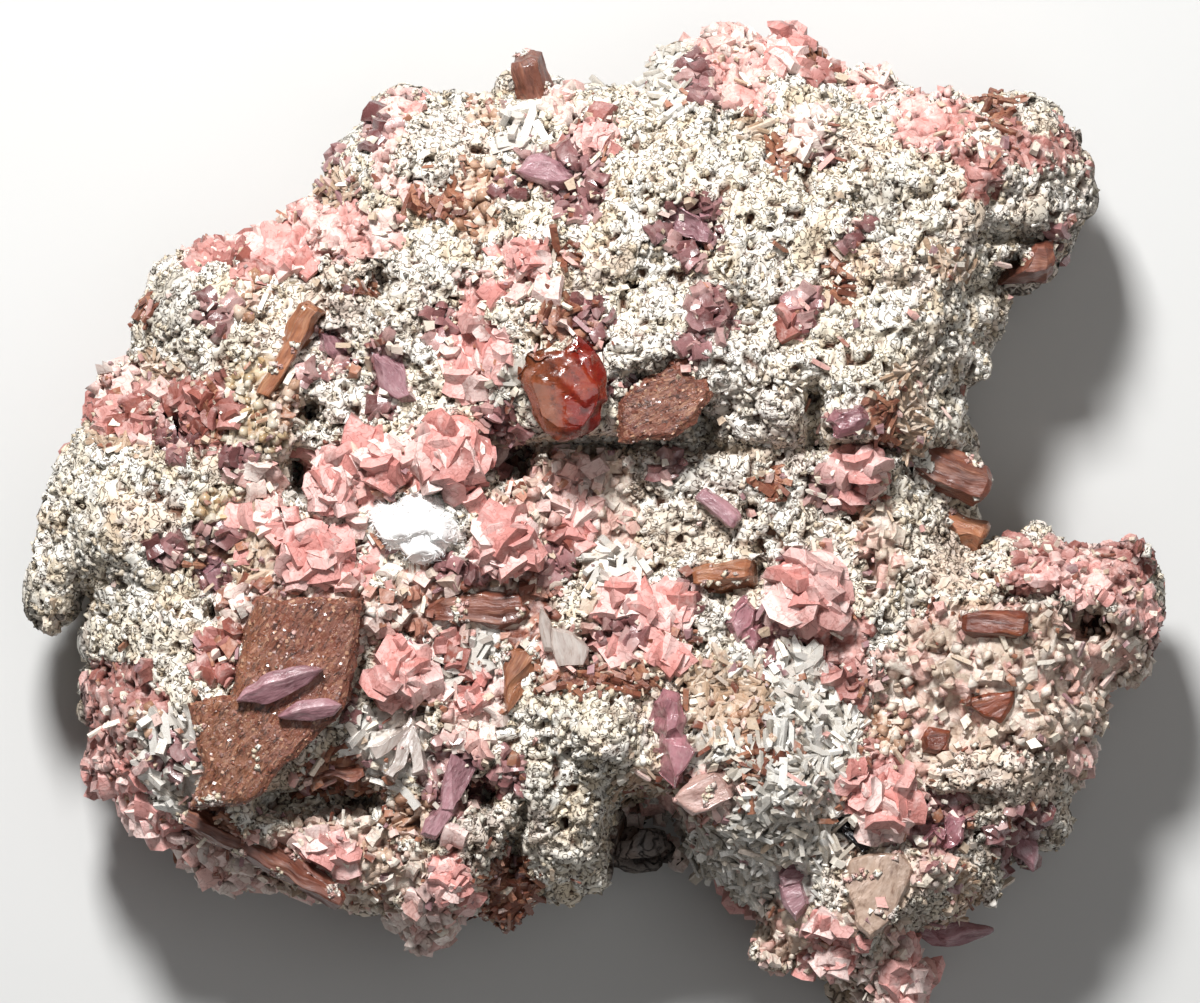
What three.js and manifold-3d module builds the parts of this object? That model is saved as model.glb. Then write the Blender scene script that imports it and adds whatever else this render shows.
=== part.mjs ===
// A nenadkevichite specimen: a broken, vuggy slab of rock whose front is crusted with pale grains,
// with red-brown prisms, mauve blades, pink rosettes and a few paler crystals grown on it.
// It lies on its back, on a flat broken base. Millimetres, +Z up out of the crystal-covered front.
import * as THREE from "three";
import { ConvexGeometry } from "three/addons/geometries/ConvexGeometry.js";
import { ImprovedNoise } from "three/addons/math/ImprovedNoise.js";
import { edgeTable, triTable } from "three/addons/objects/MarchingCubes.js";
import { mergeVertices } from "three/addons/utils/BufferGeometryUtils.js";
import Module from "manifold-3d";

// ---- Driving dimensions -------------------------------------------------------------------------
const SPECIMEN_WIDTH = 92; // left to right across the front
const FRONT_LEVEL = 22; // usual height of the front above the base
const DOME = 2.5; // how much the middle of the front stands above its rim
const SHAPE_RATIO = 0.9; // room for its height, as a share of its width
const WAIST = 12; // height at which the slab is widest
const UPPER_SHRINK = 2.2; // how far the walls draw in between the waist and the front
const LOWER_SHRINK = 7.5; // how far they draw in between the waist and the base
const SHOULDER = 4; // radius where the front turns into the walls
const BLOCK = 8; // size of the blocks that the rock breaks into
const BLOCK_RELIEF = 1.9; // how far they stand proud or fall back
const BLOCK_STEP = 1.2; // share of that in the steps between them
const BLOCK_TILT = 1.6; // share of it in their faces' tilt
const BLOCK_JITTER = 0.8; // how unevenly they lie, as a share of their size
const WAVE = 6; // size of the gentler swelling over the blocks
const WAVE_RELIEF = 1.6; // how far it swells
const WAIST_CALM = 0.35; // share of all this that is left at the waist
const MOUTH = 2.5; // how far above the rock the cutter of a pit or cleft starts
const CELL = 3.05; // size of a facet of the rock
const WALL_LEVELS = [-3.4, 0.6, 4.8, 9, 13, 16.4]; // facet heights on the walls, taller than CELL
const TOP_LEVEL = 34; // above the rock's highest point
const GAP = 0.3; // clearance between a crystal and the rock that it grew on

// Places on the front are read on a drawing grid, GRID_WIDTH steps across the specimen.
// x runs to the right and y runs down. A step is 0.08 mm.
const GRID_WIDTH = 1150;
const GRID_CENTRE = [595, 517];
const STEP = SPECIMEN_WIDTH / GRID_WIDTH;
const place = ([gx, gy]) => new THREE.Vector2(
  (gx - GRID_CENTRE[0]) * STEP,
  (GRID_CENTRE[1] - gy) * STEP,
);

// ---- The rock's shape ---------------------------------------------------------------------------
// The slab's rim seen from the front, clockwise from its left shoulder, in grid steps.
const RIM = [
  [128, 345], [136, 308], [150, 275], [164, 260], [196, 250], [240, 243], [275, 236], [290, 218],
  [308, 199], [322, 195], [316, 183], [328, 168], [332, 150], [356, 128], [370, 108], [386, 90],
  [404, 84], [432, 94], [452, 88], [480, 93], [500, 84], [545, 86], [575, 86], [590, 80],
  [630, 84], [650, 88], [660, 62], [674, 46], [700, 38], [708, 16], [722, 6], [750, 22],
  [768, 46], [780, 32], [798, 33], [822, 50], [824, 68], [850, 82], [865, 66], [886, 72],
  [897, 86], [935, 99], [990, 98], [1025, 90], [1044, 100], [1066, 127], [1080, 130], [1094, 158],
  [1099, 190], [1096, 206], [1085, 214], [1076, 250], [1060, 262], [1040, 270], [1010, 274],
  [1000, 290], [1002, 312], [990, 345], [988, 366], [968, 384], [970, 420], [980, 445], [972, 470],
  [962, 500], [970, 530], [985, 545], [1015, 543], [1042, 528], [1065, 550], [1105, 545],
  [1152, 546], [1160, 572], [1166, 610], [1160, 648], [1154, 680], [1128, 682], [1112, 704],
  [1104, 732], [1096, 762], [1080, 795], [1074, 832], [1050, 848], [1036, 862], [1028, 874],
  [1010, 864], [1000, 892], [978, 898], [960, 922], [940, 936], [918, 940], [914, 958], [924, 984],
  [914, 1010], [893, 1021], [866, 1014], [842, 988], [812, 970], [785, 965], [770, 968],
  [758, 950], [768, 932], [766, 908], [745, 896], [708, 866], [697, 852], [665, 858], [640, 864],
  [607, 872], [598, 888], [575, 900], [545, 903], [520, 914], [500, 928], [490, 918], [455, 920],
  [442, 942], [415, 952], [408, 935], [392, 915], [350, 913], [320, 904], [285, 892], [240, 890],
  [200, 884], [192, 870], [176, 846], [150, 825], [120, 797], [92, 778], [84, 762], [86, 735],
  [77, 700], [86, 670], [98, 664], [84, 648], [82, 625], [90, 600], [84, 588], [70, 602],
  [62, 620], [46, 634], [22, 624], [11, 598], [18, 568], [32, 552], [44, 520], [52, 474],
  [62, 448], [84, 425], [98, 398], [112, 372], [134, 370], [126, 356],
].map(place);

// Swells and hollows of the front: where, how wide in grid steps, and how high in millimetres.
const SWELLS = [
  { at: [860, 300], reach: 130, rise: 1.6 }, // upper right mass
  { at: [690, 330], reach: 60, rise: 1.8 },
  { at: [720, 70], reach: 60, rise: -1.5 }, // summit falls back
  { at: [1050, 170], reach: 60, rise: -1 }, // right ear
  { at: [330, 230], reach: 60, rise: 1 }, // pink shoulder
  { at: [385, 310], reach: 50, rise: 2.2 },
  { at: [165, 310], reach: 45, rise: 1.2 }, // left block
  { at: [95, 500], reach: 60, rise: 0.5 }, // left lobe
  { at: [42, 600], reach: 30, rise: -3 },
  { at: [570, 345], reach: 90, rise: 1.6 }, // round the main crystal
  { at: [430, 480], reach: 55, rise: 1.6 },
  { at: [600, 740], reach: 52, rise: 3 }, // pale boulder
  { at: [765, 780], reach: 75, rise: 2.6 }, // grey nodule
  { at: [875, 890], reach: 50, rise: 1.4 },
  { at: [1090, 570], reach: 60, rise: 2 }, // arm's ridge
  { at: [870, 580], reach: 60, rise: 0.8 },
  { at: [290, 650], reach: 70, rise: 1.8 }, // under the great plate
  { at: [230, 750], reach: 50, rise: 1.4 },
  { at: [640, 500], reach: 60, rise: -1.6 }, // middle trough
  { at: [380, 815], reach: 50, rise: -1.4 },
  { at: [645, 834], reach: 34, rise: -15 }, // recess between boulder and nodule
  { at: [520, 870], reach: 22, rise: -5 },
  { at: [1100, 700], reach: 60, rise: -2 }, // arm's lower slope
  { at: [900, 980], reach: 40, rise: -2 }, // foot
  { at: [1012, 262], reach: 42, rise: -3.4 }, // under the ear
  { at: [950, 492], reach: 44, rise: -3 }, // recess at the right edge
];

// Terraces: parts of the front that stand proud with a steep edge.
const TERRACE_EDGE = 2; // width of the steep edge
const TERRACES = [
  {
    rise: 2.6, // upper mass, over the ledge
    rim: [
      [500, 260], [640, 120], [760, 90], [980, 140], [1010, 300], [990, 440], [905, 462],
      [800, 432], [700, 430], [610, 442], [525, 440], [490, 350],
    ],
  },
  {
    rise: 1.8, // great plate's step
    rim: [[185, 690], [250, 590], [368, 590], [352, 712], [262, 800], [185, 806]],
  },
  {
    rise: 1.6, // arm's ridge
    rim: [[985, 535], [1165, 540], [1172, 604], [1060, 596], [985, 606]],
  },
].map(({ rise, rim }) => ({ rise, rim: rim.map(place) }));

// Vugs: open pits in the front, with radius and depth in millimetres.
const VUGS = [
  { at: [507, 462], radius: 1.9, depth: 9 },
  { at: [300, 472], radius: 1.3, depth: 8 },
  { at: [306, 416], radius: 1.3, depth: 5 },
  { at: [482, 794], radius: 1.5, depth: 6 },
  { at: [592, 645], radius: 1.5, depth: 6 },
  { at: [812, 396], radius: 1.3, depth: 6 },
  { at: [716, 422], radius: 1.2, depth: 5 },
  { at: [216, 612], radius: 1.1, depth: 5 },
  { at: [178, 428], radius: 1.4, depth: 5 },
  { at: [1092, 622], radius: 1.8, depth: 5 },
  { at: [380, 286], radius: 1, depth: 4 },
];

// Clefts: long cuts under a ledge, each leaning in under the ledge above it.
const CLEFT_LEAN = 1.6;
const CLEFTS = [
  { from: [560, 450], to: [690, 444], width: 1.6, depth: 7 },
  { from: [790, 444], to: [880, 452], width: 1.3, depth: 5 },
  { from: [255, 812], to: [376, 800], width: 1.9, depth: 6 },
  { from: [1000, 600], to: [1062, 594], width: 1.1, depth: 4 },
  { from: [136, 372], to: [176, 412], width: 0.9, depth: 5 },
  { from: [515, 760], to: [572, 764], width: 1, depth: 4 },
];

// ---- Crystals -----------------------------------------------------------------------------------
// turn is the long side's direction, anticlockwise from +X, and lean lifts its far end.
// lift is how far the crystal's middle stands above the rock under it.
const RED_BROWN = { color: 0x7d3a28, roughness: 0.45 };
const ORANGE_BROWN = { color: 0x9a5230, roughness: 0.5 };
const MAUVE = { color: 0x9a6a78, roughness: 0.35 };
const PINK = { color: 0xe39a8c, roughness: 0.6 };

const CRYSTALS = [
  // Red-brown and orange-brown nenadkevichite.
  {
    name: "main_red_crystal", make: gem, look: { color: 0xa03a20, roughness: 0.15 }, lift: 0,
    outline: [
      [516, 372], [528, 348], [552, 336], [578, 334], [600, 347], [609, 376], [611, 402],
      [603, 428], [584, 443], [552, 441], [532, 426],
    ],
    rise: 2.6, depth: 3.4, bevel: 1.1,
  },
  {
    name: "sparkling_brown_block", make: gem, look: RED_BROWN, lift: 0,
    outline: [[617, 402], [645, 382], [668, 362], [706, 350], [708, 400], [694, 422], [668, 441], [617, 444]],
    rise: 2.3, depth: 4.2, bevel: 0.5,
  },
  {
    name: "great_brown_plate", make: plate, look: RED_BROWN, lift: 0.5,
    outline: [
      [256, 598], [364, 595], [360, 648], [348, 706], [302, 752], [262, 794], [248, 803],
      [192, 806], [206, 768], [190, 702], [233, 692], [246, 640],
    ],
    thickness: 4, bevel: 0.5,
  },
  {
    name: "long_brown_rod", make: prism, look: RED_BROWN, at: [263, 859], lift: 1,
    length: 14.8, width: 1.8, thickness: 2.4, turn: -28.8, lean: 0,
  },
  {
    name: "upper_left_prism", make: prism, look: ORANGE_BROWN, at: [289, 352], lift: 0.4,
    length: 8.6, width: 2.3, thickness: 2.8, turn: 62, lean: 4,
  },
  {
    name: "centre_brown_blade", make: gem, look: RED_BROWN, lift: 0.3,
    outline: [[408, 606], [440, 596], [500, 590], [526, 593], [529, 610], [522, 627], [496, 627], [440, 620]],
    rise: 0.9, depth: 2, bevel: 0.5,
  },
  {
    name: "centre_orange_wedge", make: gem, look: ORANGE_BROWN, lift: 0.2,
    outline: [[505, 645], [540, 650], [546, 672], [530, 690], [509, 714], [502, 690]],
    rise: 0.8, depth: 2, bevel: 0.4,
  },
  {
    name: "summit_prism", make: prism, look: RED_BROWN, at: [543, 92], z: 15.5,
    length: 7.4, width: 3.2, thickness: 3.4, turn: 118, lean: 14,
  },
  {
    name: "ear_prism", make: prism, look: RED_BROWN, at: [1008, 258], z: 17.6,
    length: 7.6, width: 4.2, thickness: 3.9, turn: 3, lean: -3,
  },
  {
    name: "right_upper_prism", make: prism, look: RED_BROWN, at: [933, 468], z: 20.4,
    length: 9.6, width: 3.4, thickness: 3.8, turn: -21, lean: -6,
  },
  {
    name: "right_lower_prism", make: prism, look: ORANGE_BROWN, at: [938, 510], z: 18,
    length: 8.8, width: 2.2, thickness: 2.6, turn: -25, lean: -4,
  },
  {
    name: "arm_dark_prism", make: prism, look: RED_BROWN, at: [994, 623], lift: 0.3,
    length: 5.6, width: 2.8, thickness: 2.8, turn: -4, lean: 6,
  },
  {
    name: "arm_orange_plate", make: gem, look: ORANGE_BROWN, lift: 0.6,
    outline: [[957, 702], [988, 692], [1014, 690], [1012, 708], [1000, 722], [980, 717]],
    rise: 0.5, depth: 1.6, bevel: 0.35,
  },
  {
    name: "arm_hexagonal_prism", make: prism, look: RED_BROWN, at: [935, 742], lift: 0.2,
    length: 3.2, width: 2.3, thickness: 2.3, turn: 10, lean: 84,
  },
  {
    name: "orange_prism", make: prism, look: ORANGE_BROWN, at: [723, 573], lift: 0.5,
    length: 4.6, width: 2.1, thickness: 2.4, turn: 6, lean: 8,
  },
  {
    name: "shadowed_brown_shard", make: prism, look: RED_BROWN, at: [332, 778], lift: 0.1,
    length: 5.2, width: 1.8, thickness: 2, turn: 8, lean: 0,
  },
  // Mauve blades and stubs.
  {
    name: "mauve_blade_on_plate_1", make: lens, look: MAUVE, at: [281, 683], on: "great_brown_plate",
    length: 7.4, width: 2.3, thickness: 1.3, turn: 20.5,
  },
  {
    name: "mauve_blade_on_plate_2", make: lens, look: MAUVE, at: [312, 709], on: "great_brown_plate",
    length: 5.4, width: 1.7, thickness: 1.2, turn: 9,
  },
  {
    name: "mauve_prism_middle", make: prism, look: MAUVE, at: [718, 509], lift: 0.3,
    length: 4, width: 1.9, thickness: 2, turn: -41, lean: 6,
  },
  {
    name: "mauve_pair_centre", make: cluster, look: MAUVE, lift: 0.4,
    outlines: [
      [[653, 700], [664, 686], [681, 692], [690, 714], [684, 738], [664, 742], [655, 722]],
      [[661, 732], [688, 732], [704, 748], [694, 768], [674, 790], [658, 762]],
    ],
    rise: 1.6, depth: 2.2, bevel: 0.9,
  },
  {
    name: "mauve_pair_upper", make: cluster, look: MAUVE, lift: 0.2,
    outlines: [
      [[514, 172], [541, 152], [562, 160], [577, 184], [546, 192]],
      [[562, 170], [598, 184], [611, 212], [582, 212], [560, 196]],
    ],
    rise: 1, depth: 2.2, bevel: 0.6,
  },
  {
    name: "mauve_stub_dark", make: gem, look: MAUVE, lift: 0.3,
    outline: [[658, 224], [680, 203], [702, 215], [717, 238], [712, 250], [688, 240]],
    rise: 1.3, depth: 2, bevel: 0.5,
  },
  {
    name: "mauve_pair_top", make: cluster, look: MAUVE, lift: -0.1,
    outlines: [
      [[752, 140], [774, 137], [802, 156], [818, 172], [790, 168]],
      [[808, 168], [824, 146], [842, 150], [838, 168]],
    ],
    rise: 0.7, depth: 2, bevel: 0.4,
  },
  {
    name: "mauve_spear_left", make: gem, look: MAUVE, lift: 0.3,
    outline: [[373, 357], [399, 350], [412, 370], [416, 400], [397, 407], [380, 392]],
    rise: 1.2, depth: 2.2, bevel: 0.6,
  },
  {
    name: "mauve_star_left", make: cluster, look: MAUVE, lift: 0.1,
    outlines: [
      [[318, 330], [346, 345], [361, 374], [340, 376], [322, 352]],
      [[303, 362], [332, 366], [326, 384], [304, 396]],
    ],
    rise: 0.8, depth: 2, bevel: 0.4,
  },
  {
    name: "mauve_pair_lobe", make: cluster, look: MAUVE, lift: 0.1,
    outlines: [
      [[192, 520], [214, 530], [236, 548], [218, 566], [201, 562]],
      [[201, 572], [222, 558], [237, 568], [231, 582], [212, 597]],
    ],
    rise: 0.8, depth: 2, bevel: 0.4,
  },
  {
    name: "mauve_star_lower", make: cluster, look: MAUVE, lift: 0.3,
    outlines: [
      [[450, 748], [478, 768], [462, 788], [455, 814], [440, 812], [443, 778]],
      [[424, 816], [450, 798], [457, 814], [436, 838], [420, 834]],
    ],
    rise: 0.9, depth: 2, bevel: 0.4,
  },
  {
    name: "mauve_pair_foot", make: cluster, look: MAUVE, lift: 0.3,
    outlines: [
      [[774, 876], [799, 861], [813, 866], [801, 888], [782, 892]],
      [[777, 886], [801, 880], [809, 906], [795, 921], [784, 906]],
    ],
    rise: 0.9, depth: 2.2, bevel: 0.4,
  },
  {
    name: "rose_glassy_crystal", make: gem, look: MAUVE, lift: 0.2,
    outline: [[820, 424], [832, 405], [862, 400], [872, 419], [860, 438], [836, 441]],
    rise: 1.4, depth: 2.2, bevel: 0.8,
  },
  {
    name: "mauve_spear_rim", make: gem, look: MAUVE, lift: 0,
    outline: [[1006, 824], [1026, 820], [1041, 848], [1037, 873], [1018, 860]],
    rise: 1, depth: 2.4, bevel: 0.5,
  },
  {
    name: "mauve_lens_at_foot", make: lens, look: MAUVE, at: [960, 940], z: 11.5,
    length: 6, width: 1.9, thickness: 1.5, turn: 10,
  },
  {
    name: "rose_glassy_pair", make: cluster, look: MAUVE, lift: 0.2,
    outlines: [
      [[727, 604], [744, 592], [761, 606], [757, 628], [736, 645], [722, 622]],
      [[738, 642], [748, 622], [762, 622], [766, 642], [754, 656]],
    ],
    rise: 1, depth: 2, bevel: 0.5,
  },
  {
    name: "rose_cluster_foot", make: cluster, look: MAUVE, lift: 0.1,
    outlines: [
      [[914, 846], [930, 824], [950, 834], [940, 852]],
      [[934, 838], [950, 808], [968, 818], [966, 846], [946, 852]],
    ],
    rise: 0.9, depth: 2, bevel: 0.4,
  },
  // Pink rosettes of thick, curved rhombs.
  { name: "pink_rosette_arm", make: rosette, look: PINK, at: [808, 592], radius: 3.3, rise: 1.9, seed: 1 },
  { name: "pink_rosette_centre", make: rosette, look: PINK, at: [446, 457], radius: 3.4, rise: 2, seed: 2 },
  { name: "pink_rosette_left", make: rosette, look: PINK, at: [346, 479], radius: 3, rise: 1.5, seed: 3 },
  { name: "pink_rosette_plate", make: rosette, look: PINK, at: [313, 560], radius: 2.9, rise: 1.5, seed: 4 },
  { name: "pink_rosette_tuft", make: rosette, look: PINK, at: [502, 540], radius: 2.7, rise: 1.4, seed: 5 },
  { name: "pink_rosette_lower", make: rosette, look: PINK, at: [404, 668], radius: 2.7, rise: 1.5, seed: 6 },
  { name: "pink_rosette_wedge", make: rosette, look: PINK, at: [476, 706], radius: 1.9, rise: 1.1, seed: 7 },
  { name: "pink_rosette_base", make: rosette, look: PINK, at: [449, 877], radius: 2, rise: 1.1, seed: 8 },
  { name: "pink_rosette_foot", make: rosette, look: PINK, at: [884, 798], radius: 3, rise: 1.5, seed: 9 },
  { name: "pink_rosette_top", make: rosette, look: PINK, at: [593, 141], radius: 2.1, rise: 1.2, seed: 10 },
  { name: "pink_rosette_upper", make: rosette, look: PINK, at: [530, 262], radius: 2, rise: 1.1, seed: 11 },
  { name: "pink_rosette_toe", make: rosette, look: PINK, at: [838, 952], radius: 2, rise: 1, seed: 12 },
  // Paler crystals.
  {
    name: "white_tuft", make: tuft, look: { color: 0xf6f4ee, roughness: 0.9 }, at: [422, 528], lift: 0.4,
    radius: 3.5,
  },
  {
    name: "white_blade_fan", make: fan, look: { color: 0xe6e0d4, roughness: 0.5 }, at: [404, 748], lift: 0.4,
    length: 5.4, blades: 3, turn: 245,
  },
  {
    name: "pale_twin_blades", make: cluster, look: { color: 0xd8c4c0, roughness: 0.3 }, lift: 0.5,
    outlines: [
      [[540, 606], [550, 622], [550, 650], [542, 650], [537, 626]],
      [[550, 626], [574, 630], [590, 650], [588, 666], [556, 668], [546, 640]],
    ],
    rise: 0.9, depth: 1.8, bevel: 0.3,
  },
  {
    name: "pale_pink_plate", make: gem, look: { color: 0xc9a79e, roughness: 0.3 }, lift: 0.6,
    outline: [[672, 800], [688, 776], [712, 768], [734, 772], [736, 796], [716, 806], [692, 816]],
    rise: 0.8, depth: 2.4, bevel: 0.4,
  },
  {
    name: "tan_plate", make: gem, look: { color: 0xb8937c, roughness: 0.45 }, lift: 0.5,
    outline: [
      [846, 858], [876, 850], [903, 851], [916, 866], [911, 892], [893, 922], [868, 940],
      [857, 926], [843, 888],
    ],
    rise: 1.2, depth: 2.8, bevel: 0.4,
  },
  {
    name: "black_needle_bundle", make: prism, look: { color: 0x16161a, roughness: 0.2 }, at: [852, 836],
    lift: 0.4, length: 3.2, width: 1.4, thickness: 2, turn: -42, lean: 0,
  },
];

// ---- Small tools --------------------------------------------------------------------------------
const wasm = await Module();
wasm.setup();
const perlin = new ImprovedNoise();
const THREE_WAYS = [-1, 0, 1];
const NEIGHBOURS = THREE_WAYS.flatMap((i) => THREE_WAYS.flatMap((j) => THREE_WAYS.map((k) => [i, j, k])));

// A repeatable series of numbers from 0 to 1.
function series(seed) {
  let state = seed * 7919 + 17;
  return () => {
    state = (state * 48271) % 2147483647;
    return state / 2147483647;
  };
}

// Distance from a point to the rim of a closed outline, positive inside it.
function distanceInside(point, outline) {
  let nearest = Infinity;
  let inside = false;
  outline.forEach((a, i) => {
    const b = outline[(i + 1) % outline.length];
    const along = b.clone().sub(a);
    const share = THREE.MathUtils.clamp(point.clone().sub(a).dot(along) / along.lengthSq(), 0, 1);
    nearest = Math.min(nearest, a.clone().addScaledVector(along, share).distanceTo(point));
    if (a.y > point.y !== b.y > point.y && point.x < a.x + (along.x * (point.y - a.y)) / along.y) {
      inside = !inside;
    }
  });
  return inside ? nearest : -nearest;
}

// A repeatable random number from -0.5 to 0.5 for the n-th use of a cell.
function scatter([i, j, k], n) {
  const wave = Math.sin(i * 127.1 + j * 311.7 + k * 74.7 + n * 19.3) * 43758.5453;
  return wave - Math.floor(wave) - 0.5;
}

// Broken blocks about `size` across, each with a tilted flat face: how far a block stands proud,
// from -1 to 1. Neighbouring blocks meet in a step.
function blocks(x, y, z, size) {
  const here = [x, y, z];
  const home = here.map((c) => Math.floor(c / size));
  let nearest = { away: Infinity };
  for (const [i, j, k] of NEIGHBOURS) {
    const cell = [home[0] + i, home[1] + j, home[2] + k];
    const offset = cell.map((c, n) => here[n] - (c + 0.5 + BLOCK_JITTER * scatter(cell, n)) * size);
    const away = Math.hypot(...offset);
    if (away < nearest.away) nearest = { away, cell, offset };
  }
  const { cell, offset } = nearest;
  const slope = offset.reduce((sum, c, n) => sum + c * scatter(cell, n + 3), 0) / size;
  return BLOCK_STEP * scatter(cell, 6) + BLOCK_TILT * slope;
}

const solidOf = (geometry) => {
  const bare = geometry.clone();
  bare.deleteAttribute("normal");
  bare.deleteAttribute("uv");
  const merged = mergeVertices(bare, 1e-3);
  return new wasm.Manifold(new wasm.Mesh({
    numProp: 3,
    vertProperties: new Float32Array(merged.attributes.position.array),
    triVerts: new Uint32Array(merged.index.array),
  }));
};

const geometryOf = (solid) => {
  const { vertProperties, triVerts, numProp } = solid.getMesh();
  const geometry = new THREE.BufferGeometry();
  const positions = new Float32Array((vertProperties.length / numProp) * 3);
  for (let i = 0; i < positions.length / 3; i++) {
    positions.set(vertProperties.subarray(i * numProp, i * numProp + 3), i * 3);
  }
  geometry.setAttribute("position", new THREE.BufferAttribute(positions, 3));
  geometry.setIndex(new THREE.BufferAttribute(new Uint32Array(triVerts), 1));
  geometry.computeVertexNormals();
  return geometry;
};

const union = (solids) => solids.reduce((all, one) => all.add(one));
const largest = (solid) => solid.decompose().sort((a, b) => b.volume() - a.volume())[0];

// ---- The rock -----------------------------------------------------------------------------------
// Height of the front above the base at a place, before its roughness.
function frontHeight(point) {
  const half = SPECIMEN_WIDTH / 2;
  let height = FRONT_LEVEL + DOME * (1 - point.lengthSq() / (half * half));
  for (const { at, reach, rise } of SWELLS) {
    const away = place(at).distanceTo(point) / (reach * STEP);
    height += rise * Math.exp(-away * away);
  }
  for (const { rise, rim } of TERRACES) {
    height += rise * THREE.MathUtils.smoothstep(distanceInside(point, rim), -TERRACE_EDGE, TERRACE_EDGE);
  }
  return height;
}

// What a column of the rock needs to know: how far it is inside the rim, and how high the front is.
function column(x, y) {
  const point = new THREE.Vector2(x, y);
  return { x, y, inside: distanceInside(point, RIM), front: frontHeight(point) };
}

// Positive inside the rock, negative outside, and roughly a distance in millimetres.
function depthIn({ x, y, inside, front }, z) {
  const above = z > WAIST;
  const off = (z - WAIST) / (above ? FRONT_LEVEL - WAIST : WAIST);
  const shrink = off * off * (above ? UPPER_SHRINK : LOWER_SHRINK);
  const wave = WAVE_RELIEF * perlin.noise(x / WAVE, y / WAVE, z / WAVE);
  const rough = BLOCK_RELIEF * blocks(x, y, z, BLOCK) + wave;
  const calm = THREE.MathUtils.lerp(WAIST_CALM, 1, Math.min(1, Math.abs(off)));
  const wall = inside - shrink + rough * calm;
  const face = front - z + rough;
  if (wall >= SHOULDER || face >= SHOULDER) return Math.min(wall, face);
  return SHOULDER - Math.hypot(SHOULDER - wall, SHOULDER - face);
}

// Corners and edges of a marching cube, in the order of three.js's tables.
const CORNERS = [
  [0, 0, 0], [1, 0, 0], [1, 1, 0], [0, 1, 0], [0, 0, 1], [1, 0, 1], [1, 1, 1], [0, 1, 1],
];
const EDGES = [
  [0, 1], [1, 2], [2, 3], [3, 0], [4, 5], [5, 6], [6, 7], [7, 4], [0, 4], [1, 5], [2, 6], [3, 7],
];
const NEAR_CORNER = 0.12; // a facet's corner keeps this share of a cell from the grid's own corners

// The faceted surface round the rock, by marching cubes; `swell` moves it outwards.
function rockGeometry(swell) {
  const across = (from, to) => {
    const count = Math.ceil((to - from) / CELL) + 1;
    return Array.from({ length: count }, (_, i) => from + i * CELL);
  };
  const reach = SPECIMEN_WIDTH / 2 + CELL;
  const grid = [
    across(-reach, reach),
    across(-reach * SHAPE_RATIO, reach * SHAPE_RATIO),
    [...WALL_LEVELS, ...across(WALL_LEVELS.at(-1) + CELL, TOP_LEVEL)],
  ];
  const [countX, countY, countZ] = grid.map((levels) => levels.length);
  const index = ([i, j, k]) => (i * countY + j) * countZ + k;
  const values = [];
  for (const x of grid[0]) {
    for (const y of grid[1]) {
      const here = column(x, y);
      for (const z of grid[2]) {
        values.push(z === grid[2][0] || here.inside < -3 * CELL ? -1 : depthIn(here, z) + swell);
      }
    }
  }
  const positions = [];
  const corners = new Map();
  // The point where the surface crosses the grid's edge between two of its points.
  const crossing = (a, b) => {
    const [p, q] = index(a) < index(b) ? [a, b] : [b, a];
    const key = index(p) * 8 + (q[0] - p[0]) + 2 * (q[1] - p[1]) + 4 * (q[2] - p[2]);
    if (!corners.has(key)) {
      const [from, to] = [values[index(p)], values[index(q)]];
      const share = THREE.MathUtils.clamp(from / (from - to), NEAR_CORNER, 1 - NEAR_CORNER);
      corners.set(key, positions.length / 3);
      positions.push(...grid.map((levels, n) => THREE.MathUtils.lerp(levels[p[n]], levels[q[n]], share)));
    }
    return corners.get(key);
  };
  const faces = [];
  for (let i = 0; i < countX - 1; i++) {
    for (let j = 0; j < countY - 1; j++) {
      for (let k = 0; k < countZ - 1; k++) {
        const cube = CORNERS.map(([a, b, c]) => [i + a, j + b, k + c]);
        const kind = cube.reduce((bits, p, n) => bits | (values[index(p)] < 0 ? 1 << n : 0), 0);
        if (edgeTable[kind] === 0) continue;
        for (let n = kind * 16; triTable[n] !== -1; n++) {
          const [a, b] = EDGES[triTable[n]];
          faces.push(crossing(cube[a], cube[b]));
        }
      }
    }
  }
  const geometry = new THREE.BufferGeometry();
  geometry.setAttribute("position", new THREE.Float32BufferAttribute(positions, 3));
  geometry.setIndex(faces);
  return geometry;
}

const wholeRock = new THREE.Mesh(rockGeometry(0)); // before its pits and clefts

// Height of the rock's surface under a place on the front.
function surfaceAt(point) {
  const above = new THREE.Vector3(point.x, point.y, TOP_LEVEL);
  return new THREE.Raycaster(above, new THREE.Vector3(0, 0, -1)).intersectObject(wholeRock)[0].point.z;
}

// A pit: an uneven six-sided funnel, open to the front.
function vug({ at, radius, depth }, seed) {
  const random = series(seed + 40);
  const mouth = place(at);
  const top = surfaceAt(mouth) + MOUTH;
  const sides = 6;
  const points = [];
  for (let i = 0; i < sides; i++) {
    const angle = (i / sides) * 2 * Math.PI;
    const reach = radius * (0.8 + 0.45 * random());
    const ring = (share, z) => points.push(new THREE.Vector3(
      mouth.x + Math.cos(angle) * reach * share, mouth.y + Math.sin(angle) * reach * share, z,
    ));
    ring(1.25, top);
    ring(0.55, top - MOUTH - depth);
  }
  return solidOf(new ConvexGeometry(points));
}

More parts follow.
